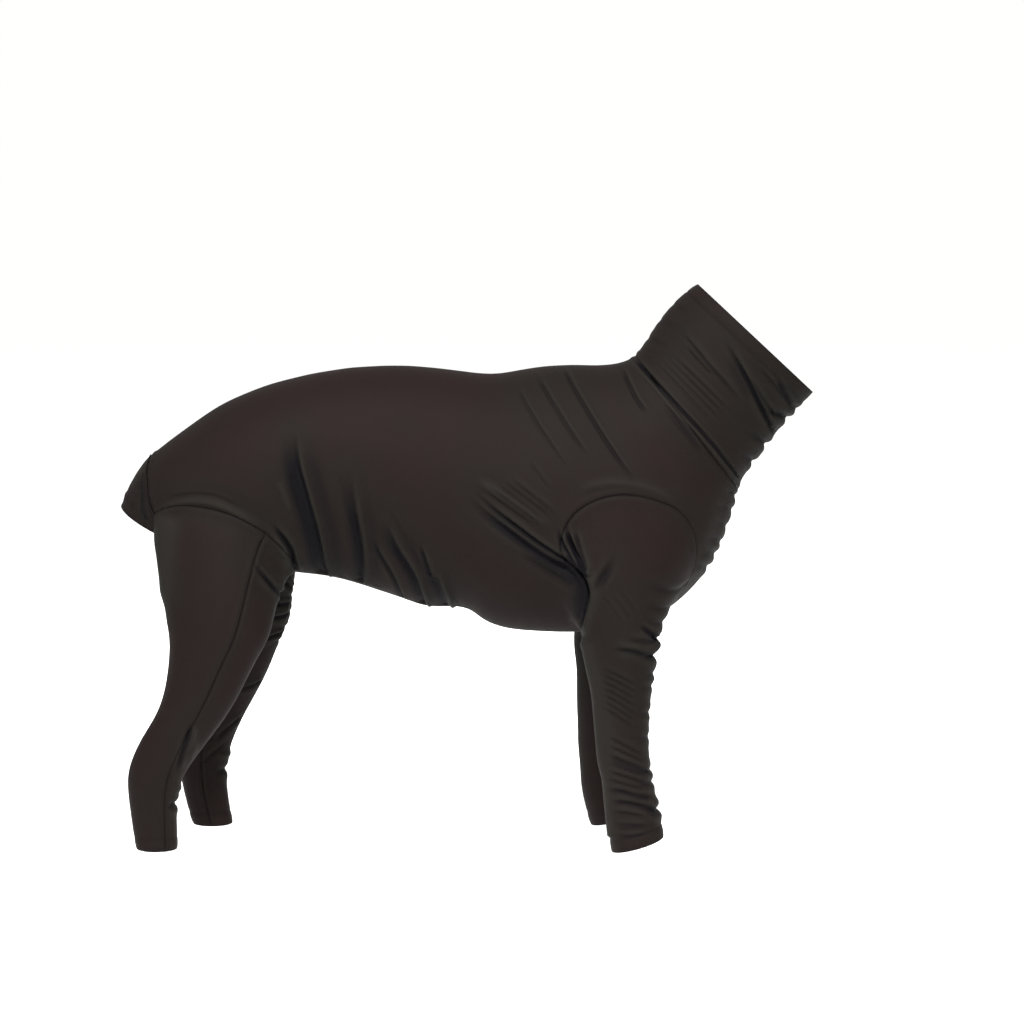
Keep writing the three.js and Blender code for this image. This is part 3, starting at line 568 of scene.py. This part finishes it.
FRONT = (
    ("neck_notch_1", "notch_soft", 0.9, (0.30, 0.795, 0.42, 0.783, 0.50, 0.776, 0.60, 0.782, 0.70, 0.795)),
    ("neck_notch_2", "notch", 0.9, (0.26, 0.785, 0.38, 0.768, 0.50, 0.759, 0.62, 0.764, 0.74, 0.782)),
    ("neck_notch_3", "notch", 1.0, (0.26, 0.745, 0.38, 0.722, 0.50, 0.711, 0.62, 0.720, 0.76, 0.746)),
    ("neck_notch_4", "notch", 0.8, (0.28, 0.706, 0.40, 0.688, 0.50, 0.681, 0.60, 0.688, 0.72, 0.702)),
    ("chest_notch_1", "notch", 0.55, (0.26, 0.646, 0.38, 0.629, 0.50, 0.621, 0.62, 0.630, 0.76, 0.648)),
    ("chest_notch_2", "notch_soft", 0.75, (0.24, 0.620, 0.38, 0.603, 0.50, 0.597, 0.62, 0.604, 0.76, 0.622)),
    ("chest_notch_3", "notch", 0.45, (0.24, 0.592, 0.38, 0.574, 0.50, 0.567, 0.62, 0.574, 0.76, 0.592)),
    ("chest_notch_4", "notch_soft", 0.9, (0.24, 0.562, 0.38, 0.546, 0.50, 0.538, 0.62, 0.546, 0.76, 0.562)),
    ("chest_notch_5", "notch", 0.5, (0.26, 0.538, 0.38, 0.524, 0.50, 0.517, 0.62, 0.524, 0.74, 0.538)),
    ("chest_notch_6", "notch", 0.6, (0.26, 0.516, 0.38, 0.500, 0.50, 0.494, 0.62, 0.500, 0.74, 0.516)),
    ("right_notch_1", "notch", 0.4, (0.02, 0.482, 0.10, 0.472, 0.20, 0.466, 0.32, 0.478)),
    ("right_notch_2", "notch_soft", 0.7, (0.02, 0.448, 0.10, 0.440, 0.20, 0.436, 0.30, 0.444)),
    ("right_notch_3", "notch_soft", 0.8, (0.03, 0.420, 0.10, 0.414, 0.20, 0.411, 0.28, 0.416)),
    ("right_notch_4", "notch", 1.0, (0.03, 0.392, 0.10, 0.386, 0.20, 0.383, 0.28, 0.390)),
    ("right_elbow_bump", "bump", 0.9, (0.05, 0.378, 0.12, 0.376, 0.20, 0.375, 0.27, 0.377)),
    ("right_notch_5", "notch", 1.1, (0.03, 0.360, 0.10, 0.355, 0.20, 0.353, 0.28, 0.358)),
    ("right_notch_6", "notch_soft", 0.9, (0.04, 0.328, 0.12, 0.323, 0.20, 0.322, 0.27, 0.326)),
    ("right_notch_7", "notch_soft", 0.7, (0.04, 0.305, 0.12, 0.301, 0.20, 0.300, 0.27, 0.304)),
    ("right_notch_8", "notch_soft", 0.9, (0.04, 0.258, 0.12, 0.253, 0.20, 0.252, 0.27, 0.256)),
    ("right_notch_9", "notch_soft", 0.7, (0.05, 0.214, 0.12, 0.210, 0.20, 0.209, 0.26, 0.212)),
    ("right_notch_10", "notch_soft", 1.0, (0.05, 0.154, 0.12, 0.150, 0.20, 0.149, 0.26, 0.152)),
    ("right_notch_11", "notch_soft", 1.1, (0.05, 0.132, 0.12, 0.128, 0.20, 0.127, 0.26, 0.130)),
    ("right_notch_12", "notch", 1.3, (0.05, 0.083, 0.12, 0.078, 0.20, 0.077, 0.26, 0.081)),
    ("left_notch_1", "notch", 0.8, (0.70, 0.470, 0.80, 0.462, 0.90, 0.466, 0.97, 0.476)),
    ("left_notch_2", "notch", 0.8, (0.72, 0.398, 0.80, 0.392, 0.90, 0.394, 0.97, 0.402)),
    ("left_notch_3", "notch_soft", 1.0, (0.73, 0.330, 0.80, 0.324, 0.90, 0.326, 0.96, 0.332)),
    ("left_notch_4", "notch_soft", 1.0, (0.74, 0.262, 0.80, 0.256, 0.90, 0.258, 0.95, 0.264)),
    ("left_notch_5", "notch_soft", 1.0, (0.74, 0.160, 0.80, 0.154, 0.90, 0.156, 0.95, 0.162)),
)
BEHIND = (
    ("nape_notch_1", "notch_soft", 0.45, (0.30, 0.895, 0.42, 0.902, 0.50, 0.904, 0.58, 0.902, 0.70, 0.895)),
    ("nape_notch_2", "notch_soft", 0.35, (0.30, 0.925, 0.42, 0.933, 0.50, 0.936, 0.58, 0.933, 0.70, 0.925)),
    ("nape_notch_3", "notch_soft", 0.3, (0.32, 0.952, 0.42, 0.960, 0.50, 0.963, 0.58, 0.960, 0.68, 0.952)),
    ("right_rump_swell", "swell", 0.7, (0.22, 0.615, 0.20, 0.560, 0.20, 0.500, 0.20, 0.430)),
    ("left_rump_swell", "swell", 0.7, (0.78, 0.615, 0.80, 0.560, 0.80, 0.500, 0.80, 0.430)),
)
FROM_BELLY_BACK = (
    ("right_hock_bump", "bump", 0.9, (0.10, 0.117, 0.20, 0.114, 0.30, 0.117)),
    ("right_hock_notch", "notch", 0.9, (0.10, 0.089, 0.20, 0.086, 0.30, 0.089)),
    ("left_hock_bump", "bump", 0.9, (0.70, 0.133, 0.80, 0.130, 0.90, 0.133)),
    ("left_hock_notch", "notch", 0.8, (0.70, 0.106, 0.80, 0.103, 0.90, 0.106)),
    ("left_thigh_ring_1", "ring_soft", 1.0, (0.68, 0.458, 0.78, 0.452, 0.90, 0.455)),
    ("left_thigh_ring_2", "ring_soft", 1.0, (0.69, 0.432, 0.79, 0.428, 0.90, 0.430)),
    ("left_thigh_ring_3", "ring_soft", 1.0, (0.70, 0.402, 0.80, 0.396, 0.92, 0.400)),
    ("left_thigh_ring_4", "ring_soft", 1.0, (0.71, 0.372, 0.80, 0.366, 0.92, 0.372)),
    ("left_thigh_ring_5", "ring_soft", 1.0, (0.72, 0.345, 0.81, 0.340, 0.92, 0.345)),
)
FROM_BELLY_FORWARD = (
    ("right_sleeve_back", "swell", 1.2, (0.17, 0.392, 0.17, 0.330, 0.16, 0.220, 0.16, 0.090), (0.06, 0.3)),
    ("right_cuff_back", "swell", 0.45, (0.17, 0.140, 0.17, 0.080, 0.16, 0.025), (0.4, 0.05)),
    ("left_sleeve_back", "swell", 0.4, (0.82, 0.380, 0.82, 0.320, 0.82, 0.220, 0.82, 0.100)),
)
BETWEEN_LEGS = (
    ("left_inner_1", "crease", 1.0, (0.212, 0.418, 0.230, 0.415, 0.250, 0.418), (0.3, 0.05)),
    ("left_inner_2", "crease", 1.0, (0.203, 0.392, 0.222, 0.391, 0.243, 0.396), (0.3, 0.05)),
    ("left_inner_3", "crease", 1.1, (0.192, 0.350, 0.212, 0.354, 0.235, 0.362), (0.3, 0.05)),
    ("left_inner_4", "crease", 0.8, (0.160, 0.256, 0.182, 0.262, 0.202, 0.272), (0.3, 0.1)),
    ("left_hock_drag_1", "crease", 0.9, (0.127, 0.163, 0.150, 0.190, 0.176, 0.213)),
    ("left_hock_drag_2", "thin", 1.2, (0.097, 0.140, 0.112, 0.158, 0.128, 0.173)),
    ("left_hock_drag_3", "thin", 1.2, (0.105, 0.118, 0.122, 0.138, 0.142, 0.158)),
)
print("folds on the left, front and back:", len(LEFT), len(FRONT), len(BEHIND))

# %% [markdown]
# ## Lines laid on the cloth
# A fold's points are smoothed into a curve by cutting its corners twice, and the curve is
# then laid on the skin: a ray goes in at each of its points, straight from the side that
# the fold is seen from, and stops where it meets the cloth. To reach the legs the rays
# start under the belly and go forwards or backwards, or sideways from the middle plane.

# %% Lay a line on the skin
STEP = 3 * MM
UNDER_BELLY = -0.15
# the two box directions that the shares run along, the way the ray goes and where it starts
LOOKS = {
    "right": (0, 2, Vector((0, 1, 0)), -2.0),
    "left": (0, 2, Vector((0, -1, 0)), 2.0),
    "front": (1, 2, Vector((-1, 0, 0)), 2.0),
    "behind": (1, 2, Vector((1, 0, 0)), -2.0),
    "belly_back": (1, 2, Vector((-1, 0, 0)), UNDER_BELLY),
    "belly_forward": (1, 2, Vector((1, 0, 0)), UNDER_BELLY),
    "between": (0, 2, Vector((0, 1, 0)), 0.0),
}
vertices = points_of(skin.data)
tree = ray_tree(skin.data)


def smooth_line(points, rounds=2):
    """Cuts the corners of a line and keeps its two ends."""
    for _ in range(rounds):
        ahead = points[1:]
        behind = points[:-1]
        cut = np.stack([0.75 * behind + 0.25 * ahead, 0.25 * behind + 0.75 * ahead], 1)
        points = np.vstack([points[:1], cut.reshape(-1, points.shape[1]), points[-1:]])
    return points


def evenly(points, step):
    """The same line with its points a step apart."""
    run = np.r_[0, np.cumsum(np.linalg.norm(np.diff(points, axis=0), axis=1))]
    marks = np.linspace(0, run[-1], max(3, int(run[-1] / step) + 1))
    return np.stack([np.interp(marks, run, points[:, k]) for k in range(points.shape[1])], 1)


def lay_line(shares, look):
    """The points where a line of shares, seen from one side, meets the cloth."""
    across, up, ray, begin = LOOKS[look]
    flat = np.array(shares).reshape(-1, 2)
    flat = suit_lo[[across, up]] + flat * suit_size[[across, up]]
    line = []
    for a, b in evenly(smooth_line(flat), STEP):
        start = Vector((begin, begin, begin))
        start[across] = a
        start[up] = b
        place = tree.ray_cast(start, ray)[0]
        if place is not None:
            line.append(place)
    return np.array(line)


TABLES = (
    ("right", RIGHT), ("right", FINE), ("left", LEFT), ("front", FRONT), ("behind", BEHIND),
    ("belly_back", FROM_BELLY_BACK), ("belly_forward", FROM_BELLY_FORWARD),
    ("between", BETWEEN_LEGS),
)
lines = [(row, lay_line(row[3], look)) for look, rows in TABLES for row in rows]
print("folds:", len(lines), "longest, mm:", round(max(len(line) for _, line in lines) * STEP / MM))

# %% [markdown]
# The net is fine enough for soft folds but not for a sharp crease on the trunk, where its
# cells are widest. Faces within 11 millimetres of a fold and wider than two are cut once
# more.

# %% Cut the net finer beside the folds
CLOSE = 11
WIDE_CELL = 2.0 * MM


def distances(points, marks):
    """How far each point is from the nearest mark, in millimetres."""
    tree = KDTree(len(marks))
    for number, mark in enumerate(marks):
        tree.insert(mark, number)
    tree.balance()
    return np.array([tree.find(point)[2] for point in points]) / MM


fold_points = np.vstack([line for _, line in lines if len(line)])
close = distances(vertices, fold_points) < CLOSE
grab(skin)
bpy.ops.object.mode_set(mode="EDIT")
bpy.ops.mesh.select_mode(type="FACE")
bpy.ops.mesh.select_all(action="DESELECT")
bpy.ops.object.mode_set(mode="OBJECT")
for face in skin.data.polygons:
    face.select = bool(face.area > WIDE_CELL ** 2 and close[list(face.vertices)].all())
bpy.ops.object.mode_set(mode="EDIT")
bpy.ops.mesh.subdivide(number_cuts=1, smoothness=0)
bpy.ops.mesh.quads_convert_to_tris(quad_method="BEAUTY", ngon_method="BEAUTY")
bpy.ops.object.mode_set(mode="OBJECT")
print("faces after the cut:", len(skin.data.polygons))

# %% [markdown]
# ## Press the folds in
# A hand would drag a sculpting brush along each line. Here every vertex near a line finds
# the closest point of it, and moves along its own normal by the profile at that distance
# across. The profile fades towards both ends of the line. Grooves and ridges are also kept
# as values from 0 to 1, from which the grooves get painted shade and the ridges a painted
# highlight in the cloth's colour.

# %% Press the folds
BATCH = 4000
BELL_REACH = 2.4
# depths in millimetres, from which a groove gets painted shade and over which it gets darker
GROOVE_FROM = 0.5
GROOVE_START = 0.3
GROOVE_RANGE = 2.8
GROOVE_DARKEST = 0.8
GROOVE_SPREAD = 1.3
RIDGE_FULL = 2.2

vertices = points_of(skin.data)
normals = values_of(skin.data.vertex_normals, "vector", width=3)
lift = np.zeros(len(vertices))
groove = np.zeros(len(vertices))


def ease(t):
    """A smooth step from 0 at 0 to 1 at 1."""
    t = np.clip(t, 0, 1)
    return t * t * (3 - 2 * t)


def bell(x, width):
    """A smooth bump that is 1 at 0 and fades over this width."""
    return np.exp(-((x / width) ** 2))


def across_line(points, face_way, line):
    """For each point: signed distance across the line, distance off its end, share along it."""
    start = line[:-1]
    step = line[1:] - start
    length2 = (step ** 2).sum(1)
    gap = points[:, None] - start[None]
    t = np.clip((gap * step[None]).sum(2) / length2[None], 0, 1)
    away = gap - t[:, :, None] * step[None]
    which = (away ** 2).sum(2).argmin(1)
    rows = np.arange(len(points))
    offset = away[rows, which]
    direction = step[which] / np.sqrt(length2[which])[:, None]
    left = np.cross(face_way, direction)
    side = np.sign((left * offset).sum(1))
    share = (which + t[rows, which]) / len(start)
    return side * np.linalg.norm(offset, axis=1), share


def press(line, profile, strength, ends):
    """Moves the vertices near a line by its profile and notes where the grooves are, for their painted shade.
    """
    if len(line) < 3:
        return
    reach = MM * max(abs(place) + BELL_REACH * width for _, place, width in PROFILES[profile])
    inside = (vertices > line.min(0) - reach) & (vertices < line.max(0) + reach)
    picked = np.nonzero(inside.all(1))[0]
    for first in range(0, len(picked), BATCH):
        some = picked[first:first + BATCH]
        distance, share = across_line(vertices[some], normals[some], line)
        fade = ease(share / ends[0]) * ease((1 - share) / ends[1])
        for height, place, width in PROFILES[profile]:
            # a negative strength swaps the two sides of the line
            turned = place if strength > 0 else -place
            shape = bell(distance / MM - turned, width) * fade * abs(strength)
            lift[some] += height * MM * shape
            # painted shade: each groove of the profile darkens the cloth along it
            if height < -GROOVE_FROM:
                dark = bell(distance / MM - turned, GROOVE_SPREAD * width) * fade * abs(strength)
                groove[some] += dark * min(GROOVE_DARKEST, (-height - GROOVE_START) / GROOVE_RANGE)


for row, line in lines:
    press(line, row[1], row[2], row[4] if len(row) > 4 else SOFT_ENDS)
# painted highlight: the ridges' lift lightens the cloth
raised = lift / (RIDGE_FULL * MM)
from_fold = distances(vertices, fold_points)
print("highest ridge, mm:", round(lift.max() / MM, 1), "deepest groove:", round(lift.min() / MM, 1))

# %% [markdown]
# ## Seams and hems
# Two panels are sewn right sides together, so on the outside each edge rolls in and the
# cloth beside it stands up a little. At the neck, the cuffs and the tail opening the knit
# is turned up and stitched, which leaves a shallow line a hem's depth from the edge. Over
# and in front of the shoulder the cloth is pulled tight over the arm hole's seam, which
# shows less there.

# %% Shape the seams and hems
HEM_LINE = 15
# lines along which a seam is stretched flat, the share of its depth that it loses there
# and over how many millimetres
FLAT_SEAMS = (
    ((0.823, 0.505, 0.817, 0.460, 0.800, 0.425, 0.780, 0.395), 0.85, 34.0),
    ((0.649, 0.625, 0.694, 0.643, 0.760, 0.638, 0.801, 0.599, 0.819, 0.559), 0.35, 20.0),
)
# height, distance from the seam or the edge and width, in millimetres
SEAM_PROFILE = ((0.70, 4.5, 2.4), (-0.70, 0, 1.5))
HEM_PROFILE = ((-0.45, HEM_LINE, 1.5), (0.35, 8, 4.5))
EDGE_PROFILE = ((-0.5, 0, 1.2),)
# painted shade in the seam and hem grooves: darkness, distance and width
SEAM_SHADE_PAINT = ((0.38, 0, 1.2),)
HEM_SHADE_PAINT = ((0.35, HEM_LINE, 1.4), (0.6, 0, 1.4))


def shaped(distance, profile):
    """The sum of a profile's bells at these distances."""
    return sum(height * bell(distance - place, width) for height, place, width in profile)


mesh = skin.data
corner = values_of(mesh.loops, "vertex_index", int)
seam_points = np.nonzero(panels_differ(mesh, corner, len(vertices)))[0]
rim_points = sorted({v for edge in open_edges(mesh) for v in edge})
print("vertices on seams:", len(seam_points), "on hems:", len(rim_points))

from_seam = distances(vertices, vertices[seam_points])
rim = vertices[rim_points]
from_rim = distances(vertices, rim)
sewn_depth = ease((from_rim - 1) / 3)
for shares, lost, width in FLAT_SEAMS:
    sewn_depth *= 1 - lost * bell(distances(vertices, lay_line(shares, "right")), width)
away_from_seam = ease((from_seam - 1) / 3)
lift += MM * sewn_depth * shaped(from_seam, SEAM_PROFILE)
lift += MM * away_from_seam * shaped(from_rim, HEM_PROFILE)
lift += MM * shaped(from_rim, EDGE_PROFILE)
# painted shade along the seams, the hem's stitch line and the rolled-in edge
groove += sewn_depth * shaped(from_seam, SEAM_SHADE_PAINT)
groove += shaped(from_rim, HEM_SHADE_PAINT)

# %% [markdown]
# ## Small wrinkles
# Worn knit is never quite even. Two layers of noise, one as long as a hand and one as wide
# as a finger, lift it by a few tenths of a millimetre. They fade towards seams and hems,
# where the sewing holds the cloth.

# %% Add the small wrinkles
HAND_SCALE = 9
HAND_SHIFT = Vector((3.1, 7.7, 1.3))
HAND_LIFT = 1.1
FINGER_SCALE = (34, 20, 20)
FINGER_LIFT = 0.45
FOLD_SHEEN_WIDTH = 24

hand = np.array([noise.noise(Vector(v) * HAND_SCALE + HAND_SHIFT) for v in vertices])
finger = np.array([noise.noise(Vector(v)) for v in vertices * FINGER_SCALE])
calm = ease((from_seam - 3) / 14) * ease((from_rim - 3) / 20)
lift += MM * calm * (HAND_LIFT * hand + FINGER_LIFT * finger)

placed = vertices + normals * lift[:, None]
mesh.vertices.foreach_set("co", placed.ravel())
mesh.update()
# painted sheen: a greenish tint painted on near folds and seams, where the ridges catch the light
worked = bell(np.minimum(from_fold, 2 * from_seam), FOLD_SHEEN_WIDTH)
# painted shade in the grooves, painted sheen near folds and seams and a painted highlight on the ridges, kept
# for the knit's colour
for name, values in (("crease", groove), ("worked", worked), ("raised", raised * (1 - groove))):
    layer = mesh.attributes.new(name, "FLOAT", "POINT")
    layer.data.foreach_set("value", np.clip(values, 0, 1).astype(np.float32))
print("mean lift, mm:", round(float(np.abs(lift).mean()) / MM, 2))

# %% [markdown]
# ## Cloth with a thickness
# The skin is cut into its panels again, whose sewn edges meet line on line. Solidify gives
# each the knit's thickness inwards, more where the hem is doubled, and Decimate thins out
# the inner face, which shows only through the openings.

# %% Cut the skin into panels and thicken them
KNIT = 1.5 * MM
DOUBLED = 2.6 * MM
INSIDE_SHARE = 0.16

grab(skin)
bpy.ops.object.mode_set(mode="EDIT")
bpy.ops.mesh.select_all(action="SELECT")
bpy.ops.mesh.separate(type="MATERIAL")
bpy.ops.object.mode_set(mode="OBJECT")
panels = {}
for obj in list(bpy.context.selected_objects):
    label = obj.material_slots[obj.data.polygons[0].material_index].name
    panels[PANELS[int(label.split("_")[1])]] = obj


def thicken(panel):
    """Gives a panel its wall, and thins out the faces of the inside."""
    mesh = panel.data
    border = {v for edge in open_edges(mesh) for v in edge}
    co = points_of(mesh)
    count = len(co)
    weight = panel.vertex_groups.new(name="thickness")
    share = KNIT / DOUBLED + (1 - KNIT / DOUBLED) * ease((HEM_LINE + 1 - distances(co, rim)) / 2)
    for number in range(count):
        weight.add([number], float(share[number]), "REPLACE")
    grab(panel)
    wall = panel.modifiers.new("wall", "SOLIDIFY")
    wall.thickness = DOUBLED
    wall.offset = -1
    wall.vertex_group = "thickness"
    wall.thickness_vertex_group = 0
    bpy.ops.object.modifier_apply(modifier="wall")
    inside = panel.vertex_groups.new(name="inside")
    inner = [v + count for v in range(count) if v not in border]
    inside.add(inner, 1, "REPLACE")
    total = len(mesh.polygons)
    thin = panel.modifiers.new("thin", "DECIMATE")
    thin.vertex_group = "inside"
    thin.ratio = (1 + INSIDE_SHARE) / 2
    bpy.ops.object.modifier_apply(modifier="thin")
    panel.vertex_groups.clear()
    print(panel.name, "vertices:", count, "faces:", total, "kept:", len(panel.data.polygons))


for node, panel in panels.items():
    panel.name = "knit_" + node
    thicken(panel)

# %% [markdown]
# ## Directions of the knit
# Jersey has rows of stitches round the limb and columns along it. A UV map carries both in
# metres: round the panel's own axis, and along it. The trunk and the tail band run along
# the back, the neck along its rise, and the sleeves down.

# %% Map the cloth
NECK_RISE = math.radians(50)
ALONG = {
    "body_shell": (1, 0, 0),
    "tail_band": (1, 0, 0),
    "neck_tube": (math.cos(NECK_RISE), 0, math.sin(NECK_RISE)),
}


def map_cloth(node, panel):
    """Lays the UV map of one panel and returns its mean radius."""
    mesh = panel.data
    along = np.array(ALONG.get(node, (0, 0, -1)), float)
    side = np.array((0, 1.0, 0))
    third = np.cross(along, side)
    co = points_of(mesh)
    middle = (co.min(0) + co.max(0)) / 2
    flat = co - middle
    radius = float(np.hypot(flat @ side, flat @ third).mean())
    angle = np.arctan2(flat @ side, flat @ third)
    corner = values_of(mesh.loops, "vertex_index", int)
    first = values_of(mesh.polygons, "loop_start", int)
    sides = values_of(mesh.polygons, "loop_total", int)
    base = np.repeat(angle[corner[first]], sides)
    turn = (angle[corner] - base + math.pi) % (2 * math.pi) - math.pi
    uv = np.stack([(base + turn) * radius, (flat @ along)[corner]], 1)
    layer = mesh.uv_layers.new(name="knit")
    layer.data.foreach_set("uv", uv.ravel().astype(np.float32))
    return radius


for node, panel in panels.items():
    print(node, "radius, mm:", round(map_cloth(node, panel) / MM))

# %% [markdown]
# ## The knit's finish
# The cloth is a fine jersey of dyed nylon and elastane: nearly black, brown where it lies
# flat, and with a faint soft sheen. Near folds and seams its colour also carries painted
# shade, a painted highlight and a painted sheen. The sums below are written with a small
# class that turns Python's signs into Math nodes.

# %% Sums on sockets
class Value:
    """A number socket that can be added, multiplied and so on."""

    def __init__(self, maker, socket):
        self.maker = maker
        self.socket = socket

    def sum(self, kind, a, b):
        return self.maker.node("Math", {"operation": kind}, {0: a, 1: b})

    def __add__(self, other):
        return self.sum("ADD", self, other)

    def __radd__(self, other):
        return self.sum("ADD", other, self)

    def __sub__(self, other):
        return self.sum("SUBTRACT", self, other)

    def __rsub__(self, other):
        return self.sum("SUBTRACT", other, self)

    def __mul__(self, other):
        return self.sum("MULTIPLY", self, other)

    def __rmul__(self, other):
        return self.sum("MULTIPLY", other, self)

    def sine(self):
        return self.maker.node("Math", {"operation": "SINE"}, {0: self})

    def beside(self, output):
        """Another output of the same node."""
        return Value(self.maker, self.socket.node.outputs[output])


class Maker:
    """Adds nodes to one material."""

    def __init__(self, name):
        self.material = bpy.data.materials.new(name)
        self.material.use_nodes = True
        self.nodes = self.material.node_tree.nodes
        self.links = self.material.node_tree.links
        self.finish = self.nodes["Principled BSDF"]

    def feed(self, socket, value):
        if isinstance(value, Value):
            self.links.new(value.socket, socket)
        else:
            socket.default_value = value

    def node(self, kind, settings=None, inputs=None, output=0):
        """Any node: its settings first, then the values or links of its sockets."""
        made = self.nodes.new("ShaderNode" + kind)
        for key, setting in (settings or {}).items():
            setattr(made, key, setting)
        for key, value in (inputs or {}).items():
            self.feed(made.inputs[key], value)
        return Value(self, made.outputs[output])

    def blend(self, share, first, second):
        return self.node("Mix", {"data_type": "RGBA"}, {0: share, 6: first, 7: second}, 2)


# %% [markdown]
# Broad patches drift at random between a brown and a greenish charcoal. Near folds and
# seams the greenish is painted on as sheen, ridges get a painted highlight, and grooves,
# seams and hems get painted shade that goes towards a dark navy. The stitches themselves
# are columns and rows less than a millimetre apart. They feed the bump alone, because at
# arm's length they only soften the gloss.

# %% The knit
BROWN = (0.0049, 0.0028, 0.0028, 1)
GREENISH = (0.0040, 0.0036, 0.0029, 1)
# painted highlight colour for the ridges
RIDGE_HIGHLIGHT_PAINT = (0.0078, 0.0074, 0.0062, 1)
# painted shade colour for grooves, seams and hems
CREASE_SHADE_NAVY = (0.0004, 0.0005, 0.0014, 1)
FLECK = (0.012, 0.010, 0.009, 1)
COLUMN = 1.0 * MM
ROW = 0.8 * MM
ROUGHNESS = 0.60
STITCH_DEPTH = 0.3 * MM
# inputs of the finish that are the same all over
PLAIN_INPUTS = {
    "Specular IOR Level": 0.025,
    "Sheen Weight": 0.005,
    "Sheen Roughness": 0.35,
    "Sheen Tint": (0.85, 0.83, 0.78, 1),
}


def knit_finish(name):
    """The material of every panel."""
    maker = Maker(name)
    place = maker.node("TexCoord", output="Object")
    broad = maker.node("TexNoise", {}, {"Vector": place, "Scale": 6.0, "Detail": 2.0}, "Fac")
    speck = maker.node("TexNoise", {}, {"Vector": place, "Scale": 900.0, "Detail": 1.0}, "Fac")
    patch = maker.node("MapRange", {}, {0: broad, 1: 0.42, 2: 0.66, 3: 0.0, 4: 1.0})
    crease = maker.node("Attribute", {"attribute_name": "crease"}, output="Fac")
    worked = maker.node("Attribute", {"attribute_name": "worked"}, output="Fac")
    raised = maker.node("Attribute", {"attribute_name": "raised"}, output="Fac")
    # random brown and greenish patches, with a painted greenish sheen near folds and seams
    cloth = maker.blend(patch * 0.35 + worked * 0.5, BROWN, GREENISH)
    # painted highlight on the ridges
    cloth = maker.blend(raised * 0.55, cloth, RIDGE_HIGHLIGHT_PAINT)
    # painted shade: grooves, seams and hems go towards navy
    cloth = maker.blend(crease * 0.85, cloth, CREASE_SHADE_NAVY)
    cloth = maker.blend(speck * 0.10, cloth, FLECK)

    across = maker.node("SeparateXYZ", {}, {0: maker.node("UVMap", {"uv_map": "knit"})})
    along = across.beside(1)
    column = (across * (2 * math.pi / COLUMN)).sine()
    row = (along * (2 * math.pi / ROW)).sine()
    height = column * 0.6 + row * 0.4 + speck * 0.6
    stitches = {"Strength": 0.30, "Distance": STITCH_DEPTH, "Height": height}

    finish = maker.finish.inputs
    maker.feed(finish["Base Color"], cloth)
    maker.feed(finish["Roughness"], ROUGHNESS + (broad - 0.5) * 0.16 + speck * 0.06)
    maker.feed(finish["Normal"], maker.node("Bump", {}, stitches, "Normal"))
    for key, value in PLAIN_INPUTS.items():
        finish[key].default_value = value
    return maker.material


knit = knit_finish("suit_knit")
for panel in panels.values():
    panel.data.materials.clear()
    panel.data.materials.append(knit)
    panel.data.polygons.foreach_set("material_index", [0] * len(panel.data.polygons))
    panel.data.shade_smooth()
print("nodes in the finish:", len(knit.node_tree.nodes))

# %% [markdown]
# ## The pieces
# Every panel rides on the suit's one body, and the solid that it replaces is hidden. Each
# is a sheet of stretch cloth, cut smaller than it is when worn: the table gives the flat
# size of the piece of jersey before it is sewn and pulled on.

# %% Attach each panel and hide its solid
# width and length of the cut in metres, its area in square metres, and its neighbours
CUTS = {
    "body_shell": (0.62, 0.70, 0.310, ["neck_tube", "front_sleeve_right", "front_sleeve_left"]),
    "neck_tube": (0.40, 0.15, 0.052, ["body_shell"]),
    "tail_band": (0.13, 0.12, 0.0105, ["body_shell"]),
    "front_sleeve_right": (0.24, 0.32, 0.060, ["body_shell"]),
    "front_sleeve_left": (0.24, 0.32, 0.060, ["body_shell"]),
    "hind_sleeve_back_right": (0.18, 0.42, 0.044, ["body_shell"]),
    "hind_sleeve_back_left": (0.18, 0.42, 0.044, ["body_shell"]),
    "hind_sleeve_front_right": (0.14, 0.38, 0.029, ["body_shell"]),
    "hind_sleeve_front_left": (0.14, 0.38, 0.029, ["body_shell"]),
}
for node, panel in panels.items():
    width, length, area, neighbours = CUTS[node]
    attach(panel, "root")
    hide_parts(node)
print("pieces:", len(panels))

# %% [markdown]
# ## Sizes
# How far the dressed suit has grown past the box of the solids is printed.

# %% Write the sizes and finish
lo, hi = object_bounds()
below = [round((a - b) / MM, 1) for a, b in zip(cad_lo, lo)]
above = [round((b - a) / MM, 1) for a, b in zip(cad_hi, hi)]
print("grown by, mm:", below, above)
